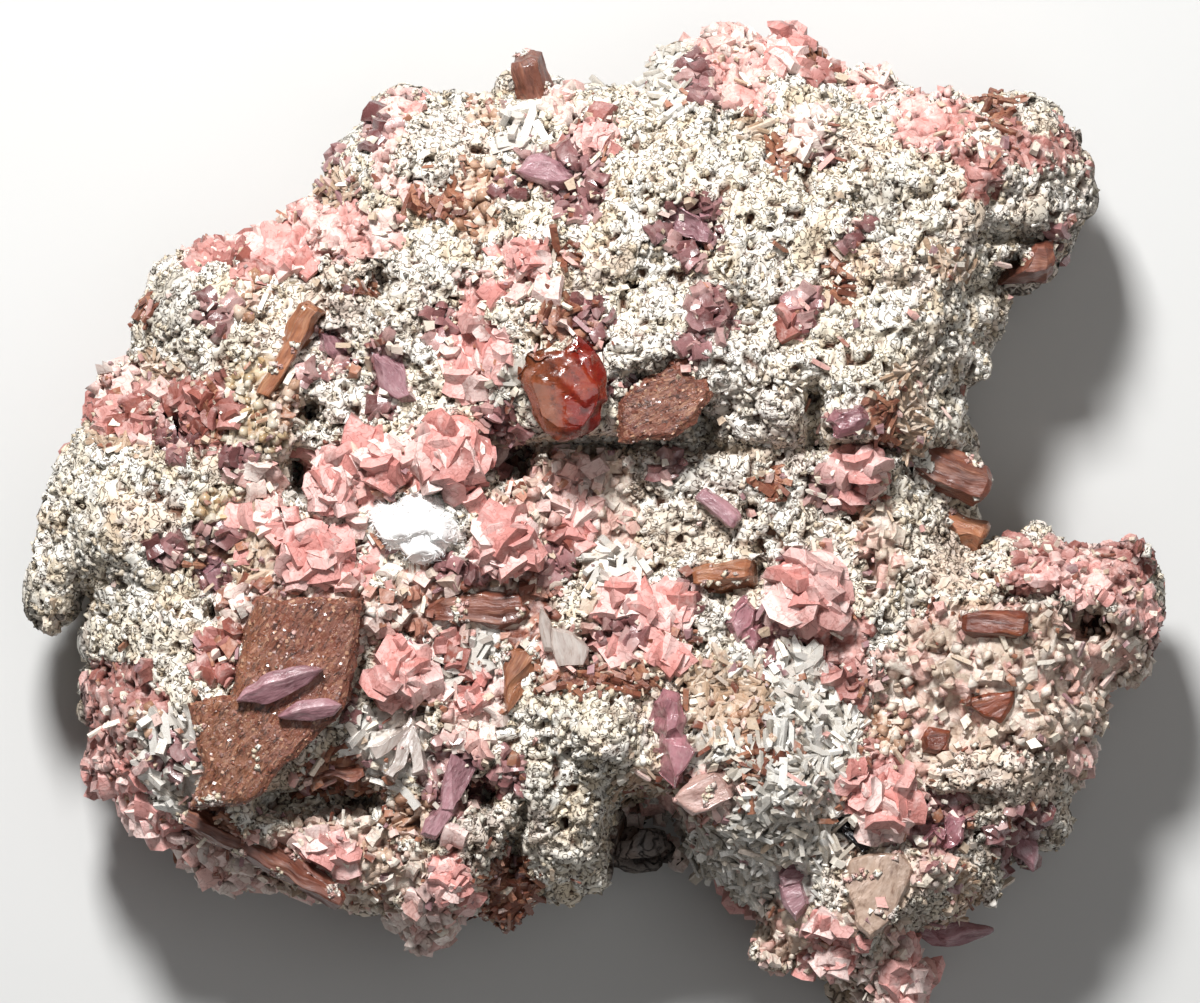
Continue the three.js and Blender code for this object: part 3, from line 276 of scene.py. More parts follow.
# Kind, left, top, right, bottom. Later patches lie over earlier ones; all else is cream.
PATCHES = [
    # Upper left.
    ("bloom", 180, 200, 400, 270), ("pink", 250, 236, 300, 268), ("salmon", 200, 245, 262, 277),
    ("cream", 190, 260, 242, 290), ("ash", 148, 278, 196, 342), ("brown", 140, 298, 151, 316),
    ("mauve", 200, 303, 230, 330), ("rust", 243, 270, 262, 322), ("white", 300, 258, 372, 312),
    ("white", 320, 255, 432, 340), ("brown", 358, 284, 371, 298), ("bloom", 378, 84, 430, 200),
    ("mauve", 371, 112, 385, 138), ("mauve", 329, 148, 342, 168), ("cream", 345, 135, 376, 182),
    ("tan", 320, 174, 351, 196), ("white", 396, 108, 496, 192), ("rust", 470, 98, 502, 126),
    ("rust", 455, 164, 502, 242), ("lath", 503, 113, 532, 152), ("pale", 550, 88, 577, 126),
    ("salmon", 563, 113, 617, 162), ("mauve", 514, 148, 560, 187), ("mauve", 545, 148, 606, 216),
    ("mauve", 498, 178, 516, 200), ("brown", 405, 192, 470, 211), ("cream", 575, 80, 652, 112),
    ("pink", 498, 243, 552, 297), ("brown", 548, 248, 577, 266), ("bloom", 453, 268, 492, 402),
    ("mauve", 429, 303, 451, 342), ("brown", 540, 303, 600, 342), ("mauve", 575, 298, 607, 322),
    # Upper middle and right.
    ("grey", 650, 44, 692, 112), ("pale", 698, 14, 764, 52), ("bloom", 698, 48, 772, 112),
    ("mauve", 680, 58, 709, 100), ("tan", 744, 113, 766, 136), ("mauve", 658, 198, 722, 252),
    ("mauve", 684, 258, 700, 272), ("mauve", 693, 288, 732, 342), ("pink", 773, 27, 802, 62),
    ("brown", 799, 49, 823, 67), ("salmon", 804, 66, 822, 82), ("bloom", 848, 64, 897, 102),
    ("bloom", 893, 93, 972, 152), ("brown", 984, 98, 1011, 127), ("dusty", 958, 148, 1002, 197),
    ("dusty", 1000, 118, 1092, 168), ("cream", 1018, 89, 1062, 132), ("white", 1003, 168, 1102, 238),
    ("mauve", 1048, 223, 1067, 252), ("pale", 790, 112, 832, 150), ("brown", 765, 142, 812, 168),
    ("mauve", 813, 143, 842, 172), ("ash", 864, 178, 897, 238), ("tan", 928, 253, 967, 277),
    ("mauve", 846, 226, 864, 246), ("brown", 833, 253, 847, 302), ("mauve", 798, 298, 817, 332),
    ("salmon", 783, 313, 802, 332),
    # Left.
    ("cream", 126, 328, 202, 372), ("tan", 143, 358, 177, 387), ("dusty", 153, 373, 242, 452),
    ("salmon", 175, 385, 225, 430), ("brown", 199, 384, 216, 400), ("brown", 207, 424, 224, 440),
    ("yellow", 233, 358, 292, 452), ("rust", 268, 368, 302, 432), ("pale", 98, 363, 152, 402),
    ("salmon", 93, 398, 152, 430), ("tan", 100, 430, 152, 456), ("cream", 18, 448, 192, 672),
    ("mauve", 165, 405, 187, 456), ("mauve", 153, 546, 177, 572), ("mauve", 193, 518, 237, 552),
    ("brown", 198, 546, 237, 572), ("mauve", 198, 563, 237, 592), ("mauve", 223, 453, 252, 472),
    ("pale", 248, 468, 277, 502), ("yellow", 198, 493, 262, 522), ("pink", 233, 508, 302, 562),
    ("grey", 288, 476, 312, 502), ("mauve", 298, 328, 352, 392), ("white", 298, 338, 332, 366),
    ("white", 308, 368, 372, 432), ("mauve", 368, 338, 402, 412), ("pink", 308, 443, 397, 512),
    ("pink", 273, 523, 362, 592), ("white", 288, 563, 312, 590), ("lath", 366, 508, 386, 577),
    ("tan", 243, 518, 277, 602), ("pale", 223, 598, 247, 632), ("salmon", 198, 638, 242, 682),
    # Middle.
    ("mixed", 392, 560, 560, 645), ("mixed", 225, 585, 395, 650), ("mixed", 500, 480, 580, 560),
    ("pink", 453, 328, 512, 382), ("grey", 498, 358, 542, 402), ("mauve", 588, 328, 627, 402),
    ("white", 600, 328, 682, 382), ("mauve", 678, 328, 707, 372), ("mauve", 473, 408, 522, 442),
    ("pink", 392, 428, 492, 492), ("blocky", 518, 448, 642, 562), ("pale", 540, 460, 600, 540),
    ("fine", 638, 438, 762, 552), ("white", 698, 328, 792, 442), ("mauve", 658, 453, 682, 477),
    ("brown", 758, 474, 777, 491), ("pink", 473, 498, 522, 577), ("mauve", 438, 553, 477, 582),
    ("mauve", 543, 548, 567, 582), ("salmon", 548, 518, 572, 552), ("pink", 563, 508, 592, 537),
    ("mauve", 683, 568, 707, 602), ("mauve", 753, 608, 792, 652), ("blocky", 578, 538, 652, 672),
    ("lath", 590, 550, 640, 600), ("pink", 598, 588, 692, 662), ("mauve", 610, 600, 640, 650),
    ("brown", 650, 615, 684, 645), ("white", 683, 598, 722, 652), ("pale", 538, 628, 592, 672),
    ("lath", 433, 628, 502, 692), ("salmon", 448, 640, 470, 670),
    # Middle right.
    ("cream", 778, 328, 982, 452), ("tan", 893, 368, 922, 462), ("brown", 863, 398, 897, 442),
    ("pink", 838, 453, 882, 502), ("mauve", 813, 463, 837, 502), ("rust", 853, 498, 877, 527),
    ("blocky", 858, 498, 902, 602), ("pink", 778, 548, 837, 622), ("dusty", 798, 608, 872, 712),
    ("salmon", 820, 668, 862, 712), ("fine", 898, 528, 982, 592), ("dusty", 1008, 540, 1155, 602),
    # The dark patches in the cavity beside the arm are painted shade.
    ("bloom", 1030, 558, 1110, 602), ("ash", 1023, 593, 1077, 647), ("dark", 1000, 594, 1024, 640),
    ("dark", 1070, 606, 1108, 640), ("bloom", 1112, 596, 1170, 690), ("pale", 1120, 640, 1150, 690),
    # Lower left.
    ("dusty", 70, 660, 165, 790), ("bloom", 84, 760, 130, 800), ("rust", 133, 708, 167, 762),
    ("pink", 98, 772, 202, 860), ("cream", 128, 773, 182, 812), ("lath", 148, 708, 207, 807),
    ("mauve", 160, 740, 182, 775), ("mauve", 338, 688, 362, 712), ("brown", 300, 750, 372, 797),
    ("pale", 170, 828, 262, 900), ("blocky", 262, 818, 402, 916), ("pink", 290, 840, 345, 880),
    ("rust", 348, 848, 387, 892), ("lath", 358, 698, 427, 782), ("brown", 180, 806, 240, 835),
    # Lower middle.
    ("pink", 373, 643, 442, 702), ("brown", 538, 670, 650, 692), ("pink", 453, 678, 512, 732),
    ("pale", 438, 698, 502, 752), ("cream", 498, 690, 652, 762), ("cream", 548, 758, 610, 904),
    ("ash", 508, 768, 552, 832), ("mauve", 498, 753, 522, 792), ("mauve", 422, 742, 482, 818),
    ("mauve", 423, 798, 452, 838), ("rust", 388, 788, 432, 842), ("ash", 448, 813, 502, 877),
    ("pink", 423, 848, 472, 902), ("brown", 488, 858, 532, 934), ("blocky", 388, 848, 427, 902),
    ("pale", 398, 898, 452, 958), ("grey", 686, 656, 854, 908), ("tan", 683, 660, 767, 737),
    ("rust", 728, 708, 767, 737), ("lath", 768, 648, 808, 694), ("pale", 670, 768, 737, 817),
    ("brown", 740, 748, 778, 762), ("brown", 740, 763, 758, 802), ("tan", 628, 768, 672, 802),
    ("blocky", 758, 903, 812, 972),
    # Lower right.
    ("blocky", 880, 600, 1160, 812), ("fine", 928, 748, 1077, 852), ("dusty", 858, 698, 907, 772),
    ("rust", 866, 706, 904, 752), ("pink", 843, 758, 922, 842), ("white", 818, 858, 842, 907),
    ("mauve", 908, 798, 972, 857), ("ash", 968, 823, 1002, 872), ("mauve", 998, 803, 1042, 880),
    ("blocky", 908, 848, 947, 892), ("mauve", 914, 856, 930, 874), ("tan", 953, 858, 977, 927),
    ("blocky", 812, 900, 940, 1020), ("ash", 898, 903, 932, 937), ("ash", 853, 928, 882, 962),
    # The dark patch in the notch is painted shade.
    ("pink", 808, 928, 862, 978), ("dark", 610, 800, 694, 900), ("pink", 898, 948, 930, 1020),
    ("pale", 868, 960, 900, 1020), ("pale", 1075, 748, 1098, 774),
]

# ---- Noise and colour ----------------------------------------------------------------------------------
LATTICE = 32  # cells across the repeating lattice of the noise


def noise(points, size, seed):
    """Smooth noise from -1 to 1 whose lumps are about `size` millimetres across."""
    lattice = np.random.default_rng(seed).uniform(-1, 1, (LATTICE,) * 3)
    scaled = points / size
    home = np.floor(scaled).astype(int)
    part = scaled - home
    part = part * part * (3 - 2 * part)
    total = np.zeros(len(points))
    for corner in itertools.product((0, 1), repeat=3):
        weight = np.prod(np.where(corner, part, 1 - part), axis=1)
        i, j, k = ((home + corner) % LATTICE).T
        total += weight * lattice[i, j, k]
    return total


def creases(points, size, seed):
    """Rounded lumps about `size` across, from 0 in the sharp creases between them to about 0.7."""
    return np.sqrt(np.abs(noise(points, size, seed)))


def smoothstep(low, high, values):
    share = np.clip((values - low) / (high - low), 0, 1)
    return share * share * (3 - 2 * share)


def in_box(places, box):
    """How deep places lie in a patch: 0 at its middle and 1 on its rounded edge."""
    left, top, right, bottom = box
    across = (places[:, 0] - (left + right) / 2) / ((right - left) / 2)
    down = (places[:, 1] - (top + bottom) / 2) / ((bottom - top) / 2)
    return (np.abs(across) ** 3 + np.abs(down) ** 3) ** (1 / 3)


def palette(colours):
    """#rrggbb colours as a table of linear red, green and blue."""
    parts = np.array([[int(colour[n:n + 2], 16) for n in (1, 3, 5)] for colour in colours]) / 255
    return np.where(parts < 0.04045, parts / 12.92, ((parts + 0.055) / 1.055) ** 2.4)


def linear(colour):
    """One #rrggbb colour as linear red, green and blue."""
    return palette([colour])[0]


# ---- The rock's form ---------------------------------------------------------------------------------
def distance_inside(points, outline):
    """Distance from points to a closed outline, positive inside it."""
    nearest = np.full(len(points), np.inf)
    inside = np.zeros(len(points), bool)
    for a, b in zip(outline, np.roll(outline, -1, axis=0)):
        along = b - a
        share = np.clip((points - a) @ along / (along @ along), 0, 1)
        nearest = np.minimum(nearest, np.hypot(*(points - a - share[:, None] * along).T))
        spans = (a[1] > points[:, 1]) != (b[1] > points[:, 1])
        with np.errstate(divide="ignore", invalid="ignore"):
            crosses = points[:, 0] < a[0] + along[0] * (points[:, 1] - a[1]) / along[1]
        inside ^= spans & crosses
    return np.where(inside, nearest, -nearest)


def blur(table, reach):
    """A table of values, blurred over `reach` cells each way."""
    span = np.arange(-3 * math.ceil(reach), 3 * math.ceil(reach) + 1)
    bell = np.exp(-0.5 * (span / reach) ** 2)
    bell /= bell.sum()
    for axis in (0, 1):
        table = np.apply_along_axis(lambda row: np.convolve(row, bell, "same"), axis, table)
    return table


@cache
def tree_of(*names):
    """A search tree over CAD nodes, in metres."""
    vertices = []
    faces = []
    for name in names:
        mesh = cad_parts[name].data
        start = len(vertices)
        vertices += [v.co.copy() for v in mesh.vertices]
        faces += [[start + i for i in p.vertices] for p in mesh.polygons]
    return BVHTree.FromPolygons(vertices, faces)


CRYSTAL_NODES = [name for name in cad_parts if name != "matrix"]
ROSETTES = [name for name in CRYSTAL_NODES if "rosette" in name]
STANDING = [name for name in CRYSTAL_NODES if "rosette" not in name]


def height_table(tree, across, up):
    """Height of a tree's surface over each place of a table; infinite where there is none."""
    height = np.full((len(across), len(up)), np.inf)
    for i, x in enumerate(across):
        for j, y in enumerate(up):
            hit = tree.ray_cast((x * MM, y * MM, RAY_START), (0, 0, -1))[0]
            if hit:
                height[i, j] = hit.z / MM
    return height


def front_heights(across, up):
    """Height of the front over each place of a table, from the CAD rock, without its facets."""
    height = height_table(tree_of("matrix"), across, up)
    known = np.isfinite(height) & (height > WAIST + 3)
    filled = np.where(known, height, 0.0)
    near_share, far_share = (blur(known.astype(float), reach) for reach in (1.8, 12))
    near = blur(filled, 1.8) / np.maximum(near_share, 1e-6)
    far = blur(filled, 12) / np.maximum(far_share, 1e-6)
    smooth = np.where(near_share > 0.2, near, far)
    return np.where(far_share > 1e-4, smooth, FRONT_LEVEL)


def crystal_tops(across, up):
    """Height of the crystals over each place of a table, and just round them; infinite elsewhere."""
    top = height_table(tree_of(*STANDING), across, up)
    wide = np.pad(top, 1, constant_values=np.inf)
    beside = wide[2:, 1:-1], wide[:-2, 1:-1], wide[1:-1, 2:], wide[1:-1, :-2]
    return np.minimum.reduce([top, *beside])


def cleared(points, tops, axes):
    """Points of the rock, lowered where they would bury a crystal."""
    i, j = (
        np.clip(np.round((points[:, n] - axes[n][0]) / CELL[n]).astype(int), 0, len(axes[n]) - 1)
        for n in (0, 1)
    )
    lowered = points.copy()
    lowered[:, 2] = np.minimum(points[:, 2], tops[i, j] - BARE)
    return lowered


def front_table(flat, axes, tops):
    """Height of the rock's front over each place: the CAD rock's, with pits and lumps of its own."""
    front = front_heights(axes[0], axes[1]).ravel()
    places = to_grid(flat)
    for *box, depth in PITS:
        front -= depth * smoothstep(1.3 if depth < STEEP else 1.15, 0.8, in_box(places, box))
    for *box, rise in LUMPS:
        front += rise * smoothstep(1.3, 0.3, in_box(places, box))
    return np.minimum(front, tops.ravel() - CLEARANCE)


def roughness_at(points):
    """How far the rock is raised at each point: little at the waist, so that the outline stays."""
    calm = 0.35 + 0.65 * smoothstep(2, 6, np.abs(points[:, 2] - WAIST))
    rough = 0.9 * noise(points, 5.5, 1) + 1.6 * (creases(points, 4.0, 2) - 0.25)
    rough += 0.8 * (creases(points, 2.2, 3) - 0.25)
    lower = smoothstep(WAIST - 0.5, 6, points[:, 2])
    rough += lower * (1.9 * noise(points, 7.5, 4) + 1.3 * (creases(points, 5.0, 5) - 0.4))
    return rough * calm


def meeting(a, b, radius):
    """The smaller of two depths, rounded off where they meet near the surface."""
    corner = radius - np.hypot(np.maximum(radius - a, 0), np.maximum(radius - b, 0))
    return np.where((a > radius) | (b > radius), np.minimum(a, b), corner)


def rock_field():
    """How deep each point of a grid lies in the rock, the grid's axes, and the crystals' tops."""
    axes = [np.arange(BOX_LOW[n] - 2 * CELL[n], BOX_HIGH[n] + 2 * CELL[n], CELL[n]) for n in range(3)]
    flat = np.stack(np.meshgrid(axes[0], axes[1], indexing="ij"), -1).reshape(-1, 2)
    shape = (len(axes[0]), len(axes[1]), 1)
    tops = crystal_tops(axes[0], axes[1])
    front = front_table(flat, axes, tops).reshape(shape)
    inside = (distance_inside(flat, from_grid(OUTLINE)) - GRAIN_ROOM).reshape(shape)
    rounder = blur(inside[:, :, 0], 5)[:, :, None]
    z = axes[2][None, None, :]
    low = smoothstep(WAIST - 1, 5, z)
    off = np.where(z > WAIST, (z - WAIST) / (FRONT_LEVEL - WAIST), (WAIST - z) / WAIST)
    wall = inside * (1 - low) + rounder * low
    wall = wall - off * off * np.where(z > WAIST, UPPER_SHRINK, LOWER_SHRINK)
    field = meeting(wall, front - z, SHOULDER)
    band = np.nonzero(np.abs(field) < 2.6)
    field[band] += roughness_at(np.stack([axes[n][band[n]] for n in range(3)], -1))
    return meeting(field, z, FOOT), axes, tops


def cells_beside(edges, axis, shift):
    """Cells next to grid edges that run along an axis, stepped back across it by `shift`."""
    cell = edges.copy()
    cell[:, [n for n in range(3) if n != axis]] -= shift
    return tuple(cell.T)


def surface(field, axes):
    """The closed surface round the field's positive part, as points and four-cornered faces."""
    solid = field > 0
    cells = tuple(n - 1 for n in field.shape)
    total = np.zeros(cells + (3,), np.float32)
    count = np.zeros(cells, np.int8)
    crossings = []
    for axis in range(3):
        low = tuple(slice(None, -1) if n == axis else slice(None) for n in range(3))
        high = tuple(slice(1, None) if n == axis else slice(None) for n in range(3))
        edges = np.stack(np.nonzero(solid[low] != solid[high]), -1)
        here = tuple(edges.T)
        a, b = field[low][here], field[high][here]
        spot = np.stack([axes[n][edges[:, n]] for n in range(3)], -1)
        spot[:, axis] += a / (a - b) * CELL[axis]
        for shift in itertools.product((0, 1), repeat=2):
            beside = cells_beside(edges, axis, shift)
            np.add.at(total, beside, spot)
            np.add.at(count, beside, 1)
        crossings.append((axis, edges, solid[low][here]))
    used = count > 0
    number = np.full(cells, -1)
    number[used] = np.arange(used.sum())
    points = total[used] / count[used][:, None]
    faces = []
    for axis, edges, leaving in crossings:
        corners = ((1, 1), (0, 1), (0, 0), (1, 0))
        quads = np.stack([number[cells_beside(edges, axis, shift)] for shift in corners], -1)
        turned = leaving if axis != 1 else ~leaving
        faces.append(np.where(turned[:, None], quads, quads[:, ::-1]))
    return points.astype(float), np.concatenate(faces)


def main_part(points, faces):
    """The largest connected part of a surface."""
    label = np.arange(len(points))
    while True:
        lowest = label[faces].min(1)
        fresh = label.copy()
        for corner in range(faces.shape[1]):
            np.minimum.at(fresh, faces[:, corner], lowest)
        fresh = fresh[fresh]
        if np.array_equal(fresh, label):
            break
        label = fresh
    kept = label == np.bincount(label).argmax()
    number = np.cumsum(kept) - 1
    return points[kept], number[faces[kept[faces[:, 0]]]]


# ---- Meshes --------------------------------------------------------------------------------------------
def mesh_piece(name, points, faces, tints, material, slot, smooth=True, replaced=()):
    """A piece of the specimen from millimetre points, faces and a colour for each point."""
    mesh = bpy.data.meshes.new(name)
    mesh.vertices.add(len(points))
    mesh.vertices.foreach_set("co", (np.clip(points, BOX_LOW, BOX_HIGH) * MM).ravel())
    mesh.loops.add(faces.size)
    mesh.loops.foreach_set("vertex_index", faces.astype(np.int32).ravel())
    mesh.polygons.add(len(faces))
    mesh.polygons.foreach_set("loop_start", np.arange(0, faces.size, faces.shape[1], dtype=np.int32))
    mesh.polygons.foreach_set("use_smooth", np.full(len(faces), smooth))
    tint = mesh.color_attributes.new("tint", "FLOAT_COLOR", "POINT")
    tint.data.foreach_set("color", np.column_stack([tints, np.ones(len(points))]).ravel())
    mesh.update(calc_edges=True)
    mesh.validate()
    piece = bpy.data.objects.new(name, mesh)
    bpy.context.scene.collection.objects.link(piece)
    mesh.materials.append(material)
    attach(piece, "root")
    if replaced:
        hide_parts(*replaced)
    return piece


def joined(parts):
    """Several parts, each of points, faces and colours, as one."""
    start = 0
    columns = []
    for points, faces, tints in parts:
        columns.append((points, faces + start, tints))
        start += len(points)
    return [np.concatenate(column) for column in zip(*columns)]


def joined_pieces(name, parts, material, slot, smooth):
    """Joins parts into as few pieces as the limit on triangles allows, crisp unless smooth."""
    batches = [[]]
    for part in parts:
        held = sum(len(faces) for _, faces, _ in batches[-1])
        if held and held + len(part[1]) > MOST_TRIANGLES:
            batches.append([])
        batches[-1].append(part)
    for number, batch in enumerate(batches):
        built = mesh_piece(f"{name}_{number + 1}", *joined(batch), material, slot)
        if not smooth:
            built.data.set_sharp_from_angle(angle=DRUSE_CRISP)


def point_normals(points, faces):
    """A surface's normal at each of its points."""
    a, b, c = (points[faces[:, n]] for n in range(3))
    across = np.cross(b - a, c - a)
    normals = np.zeros_like(points)
    for corner in range(3):
        np.add.at(normals, faces[:, corner], across)
    return normals / np.maximum(np.linalg.norm(normals, axis=1), 1e-9)[:, None]


def hollows(points, faces, normals, rounds):
    """How far each point of a surface lies under the level of its surroundings."""
    level = points.copy()
    count = np.maximum(np.bincount(faces.ravel(), minlength=len(points)), 1)[:, None]
    for _ in range(rounds):
        middle = level[faces].mean(1)
        total = np.zeros_like(level)
        for axis, corner in itertools.product(range(3), repeat=2):
            total[:, axis] += np.bincount(faces[:, corner], middle[:, axis], len(points))
        level = total / count
    return ((level - points) * normals).sum(1)


def split_faces(points, faces, chosen):
    """The chosen faces as four smaller ones each, with the ends of the sides that are halved.

    A flag for each of those sides says whether a face that isn't chosen shares it.
    """
    sides = np.stack([faces, np.roll(faces, -1, axis=1)], -1)
    keys = sides.min(-1) * len(points) + sides.max(-1)
    shared, place = np.unique(keys[chosen], return_inverse=True)
    ends = np.stack([shared // len(points), shared % len(points)], -1)
    border = np.isin(shared, keys[~chosen])
    a, b, c = faces[chosen].T
    ab, bc, ca = place.reshape(-1, 3).T + len(points)
    small = [(a, ab, ca), (ab, b, bc), (ca, bc, c), (ab, bc, ca)]
    return ends, border, np.concatenate([np.stack(corners, -1) for corners in small])


def compact(points, faces, tints):
    """A mesh without the points that its faces don't use."""
    used, small = np.unique(faces, return_inverse=True)
    return points[used], small.reshape(faces.shape), tints[used]


# ---- Grains and small crystals: each is a small closed shape about 1 across, with its foot at z = 0 ----
def outward(points, faces):
    """Faces of a roughly round shape, each turned to face away from its middle."""
    a, b, c = (points[faces[:, n]] for n in range(3))
    inward = (np.cross(b - a, c - a) * ((a + b + c) / 3 - points.mean(0))).sum(1) < 0
    return np.where(inward[:, None], faces[:, ::-1], faces)


def tube(rings, tip_low, tip_high):
    """A closed shape from rings of as many points each, and its two tips."""
    sides = len(rings[0])
    points = [p for ring in rings for p in ring] + [tip_low, tip_high]
    low, high = len(points) - 2, len(points) - 1
    last = (len(rings) - 1) * sides
    faces = []
    for n in range(sides):
        after = (n + 1) % sides
        faces += [(low, after, n), (high, last + n, last + after)]
        for start in range(0, last, sides):
            a, b = start + n, start + after
            faces += [(a, b, b + sides), (a, b + sides, a + sides)]
    return np.array(points, float), np.array(faces)


def worm(random):
    """A short, bent, worm-like grain."""
    sides, stations = 4, 3
    bend = random.uniform(0.15, 0.4) * random.choice([-1, 1])
    rings = []
    for s in range(stations):
        share = s / (stations - 1) * 2 - 1
        thick = 0.3 * (1 - 0.3 * share * share) * random.uniform(0.85, 1.15)
        ring = []
        for n in range(sides):
            angle = 2 * math.pi * (n + 0.5 * (s % 2)) / sides
            ring.append((
                0.42 * share,
                bend * (1 - share * share) + thick * math.cos(angle),
                thick * math.sin(angle) + 0.1,
            ))
        rings.append(ring)
    return tube(rings, (-0.62, -0.05, 0.08), (0.62, 0.04, 0.08))


def rhomb(random):
    """A thick, sheared plate with a saddle-shaped top and an uneven rim."""
    skew = random.uniform(-0.35, 0.35)
    saddle, bow = random.uniform(0.05, 0.2), random.uniform(-0.12, 0.12)
    thick = random.uniform(0.2, 0.34)
    grid = [(x, y) for y in (-1, 0, 1) for x in (-1, 0, 1)]
    rim = [0, 1, 2, 5, 8, 7, 6, 3]
    bulge = random.uniform(0.85, 1.15, len(grid))
    points = []
    for level, reach in ((thick, 0.44), (-0.05, 0.52), (-thick, 0.4)):
        for (x, y), out in zip(grid, bulge):
            points.append((
                reach * out * (x + skew * y), reach * out * y,
                level + saddle * (x * x - y * y) + bow * x * y,
            ))
    faces = [(a, a + 1, a + 4, a + 3) for a in (0, 1, 3, 4)]
    for start in (0, 9):
        for n, a in enumerate(rim):
            b = rim[(n + 1) % len(rim)]
            faces.append((start + a, start + a + 9, start + b + 9, start + b))
    faces += [(a + 3, a + 4, a + 1, a) for a in (18, 19, 21, 22)]
    corners = np.array(faces)
    halves = np.concatenate([corners[:, [0, 1, 2]], corners[:, [0, 2, 3]]])
    return np.array(points), halves


def gem(random):
    """A stubby crystal with a pyramid at each end."""
    sides = 6
    stretch = random.uniform(0.3, 0.44)
    ring = [
        (stretch * math.cos(2 * math.pi * n / sides) * random.uniform(0.85, 1.1),
         0.8 * stretch * math.sin(2 * math.pi * n / sides) * random.uniform(0.85, 1.1))
        for n in range(sides)
    ]
    low, high = -random.uniform(0.1, 0.25), random.uniform(0.1, 0.3)
    rings = [[(x * 0.94, y * 0.94, low) for x, y in ring], [(x, y, high) for x, y in ring]]
    points, faces = tube(rings, (0, 0, -0.5), (random.uniform(-0.1, 0.1), 0.05, 0.55))
    points = points[:, [2, 1, 0]] * (1, 1, -1)
    return points, outward(points, faces)


def blade(random):
    """A thin blade with a slanted tip."""
    width, thick = random.uniform(0.16, 0.3), random.uniform(0.05, 0.09)
    cut = random.uniform(0.05, 0.3)
    half = width / 2
    outline = [(-0.5, -half), (0.5 - cut, -half), (0.5, width * 0.1), (0.42, half), (-0.5, half)]
    rings = [[(x, y, side * thick) for x, y in outline] for side in (-1, 1)]
    return tube(rings, (0, 0, -thick * 1.1), (0, 0, thick * 1.1))


def splinter(random):
    """A thin, four-sided splinter."""
    width, thick = random.uniform(0.07, 0.13), random.uniform(0.05, 0.09)
    bend, cut = random.uniform(-0.06, 0.06), random.uniform(0.0, 0.2)
    ends = [(-0.45, bend), (0.45 - cut, bend)]
    rings = [
        [(x, y - width, 0), (x, y, -thick), (x, y + width, 0), (x, y, thick)] for x, y in ends
    ]
    points, faces = tube(rings, (-0.52, bend, 0.02), (0.5, bend, 0.03))
    return points, outward(points, faces)


def nub(random):
    """A small uneven knob with eight faces."""
    points = np.array([side * row for row in np.eye(3) for side in (1, -1)]) * 0.55
    points *= random.uniform(0.65, 1.25, (6, 1))
    points += random.uniform(-0.1, 0.1, (6, 3))
    faces = [
        (a, b, c) if (a + b + c) % 2 == 0 else (b, a, c)
        for a, b, c in itertools.product((0, 1), (2, 3), (4, 5))
    ]
    return points, outward(points, np.array(faces))


def chip(random):
    """A plain sheared block."""
    cube = bmesh.new()
    bmesh.ops.create_cube(cube, size=1)
    bmesh.ops.triangulate(cube, faces=cube.faces[:])
    points = np.array([v.co for v in cube.verts])
    faces = np.array([[v.index for v in f.verts] for f in cube.faces])
    cube.free()
    x, y, z = points.T.copy()
    points[:, 0] = x + random.uniform(0.1, 0.35) * z + random.uniform(0, 0.3) * y
    points[:, 1] = y * random.uniform(0.7, 1.0)
    points[:, 2] = z * random.uniform(0.5, 0.8)
    return points + random.uniform(-0.16, 0.16, points.shape), faces


def needle(random):
    """A hair-fine needle."""
    thick = random.uniform(0.03, 0.05)
    ring = [(math.cos(2.1 * n) * thick, math.sin(2.1 * n) * thick) for n in range(3)]
    bend = random.uniform(-0.15, 0.15)
    rings = [[(x, y, -0.4) for x, y in ring], [(x + bend, y, 0.2) for x, y in ring]]
    return tube(rings, (0, 0, -0.5), (0, 0, 0.6))


SHAPES = (worm, nub, rhomb, chip, gem, blade, splinter, needle)
FLAT_SHAPES = ("rhomb", "chip", "gem", "blade", "splinter")  # shown with flat faces
VARIANTS = 8
LIBRARY = {
    shape.__name__: [shape(np.random.default_rng([n, len(shape.__name__)])) for n in range(VARIANTS)]
    for shape in SHAPES
}


def upright_frames(normals, spins, tilts):
    """Rotation matrices whose z lies along each normal, spun about it and then tilted away from it."""
    helper = np.where(np.abs(normals[:, :1]) > 0.9, (0.0, 1.0, 0.0), (1.0, 0.0, 0.0))
    side = np.cross(normals, helper)
    side /= np.linalg.norm(side, axis=1)[:, None]
    ahead = np.cross(normals, side)
    x = side * np.cos(spins)[:, None] + ahead * np.sin(spins)[:, None]
    y = np.cross(normals, x)
    z = normals * np.cos(tilts)[:, None] + x * np.sin(tilts)[:, None]
    x = x * np.cos(tilts)[:, None] - normals * np.sin(tilts)[:, None]
    return np.stack([x, y, z], -1)


def pile(shape, spots, frames, sizes, tints, seed, shade=0.55):
    """Copies of a library shape at given spots, joined: points, faces and colours.

    Each copy is painted with shade towards its foot, darker than its top as far as `shade` says.
    """
    random = np.random.default_rng(seed)
    variant = random.integers(0, VARIANTS, len(spots))
    parts = []
    start = 0
    for n, (shape_points, shape_faces) in enumerate(LIBRARY[shape]):
        chosen = variant == n
        count = chosen.sum()
        if not count:
            continue
        local = shape_points[None] * sizes[chosen][:, None, None]
        turned = np.einsum("nij,nkj->nki", frames[chosen], local)
        up = np.einsum("nki,ni->nk", turned, frames[chosen][:, :, 2])
        reach = np.abs(up).max(1)[:, None]
        # Painted shade: darker towards each copy's foot.
        light = shade + (1 - shade) * smoothstep(-0.7, 0.5, up / reach)
        points = (turned + spots[chosen][:, None]).reshape(-1, 3)
        faces = shape_faces[None] + (start + np.arange(count) * len(shape_points))[:, None, None]
        colours = tints[chosen][:, None] * light[..., None]
        parts.append((points, faces.reshape(-1, 3), colours.reshape(-1, 3)))
        start += len(points)
    return [np.concatenate(columns) for columns in zip(*parts)]


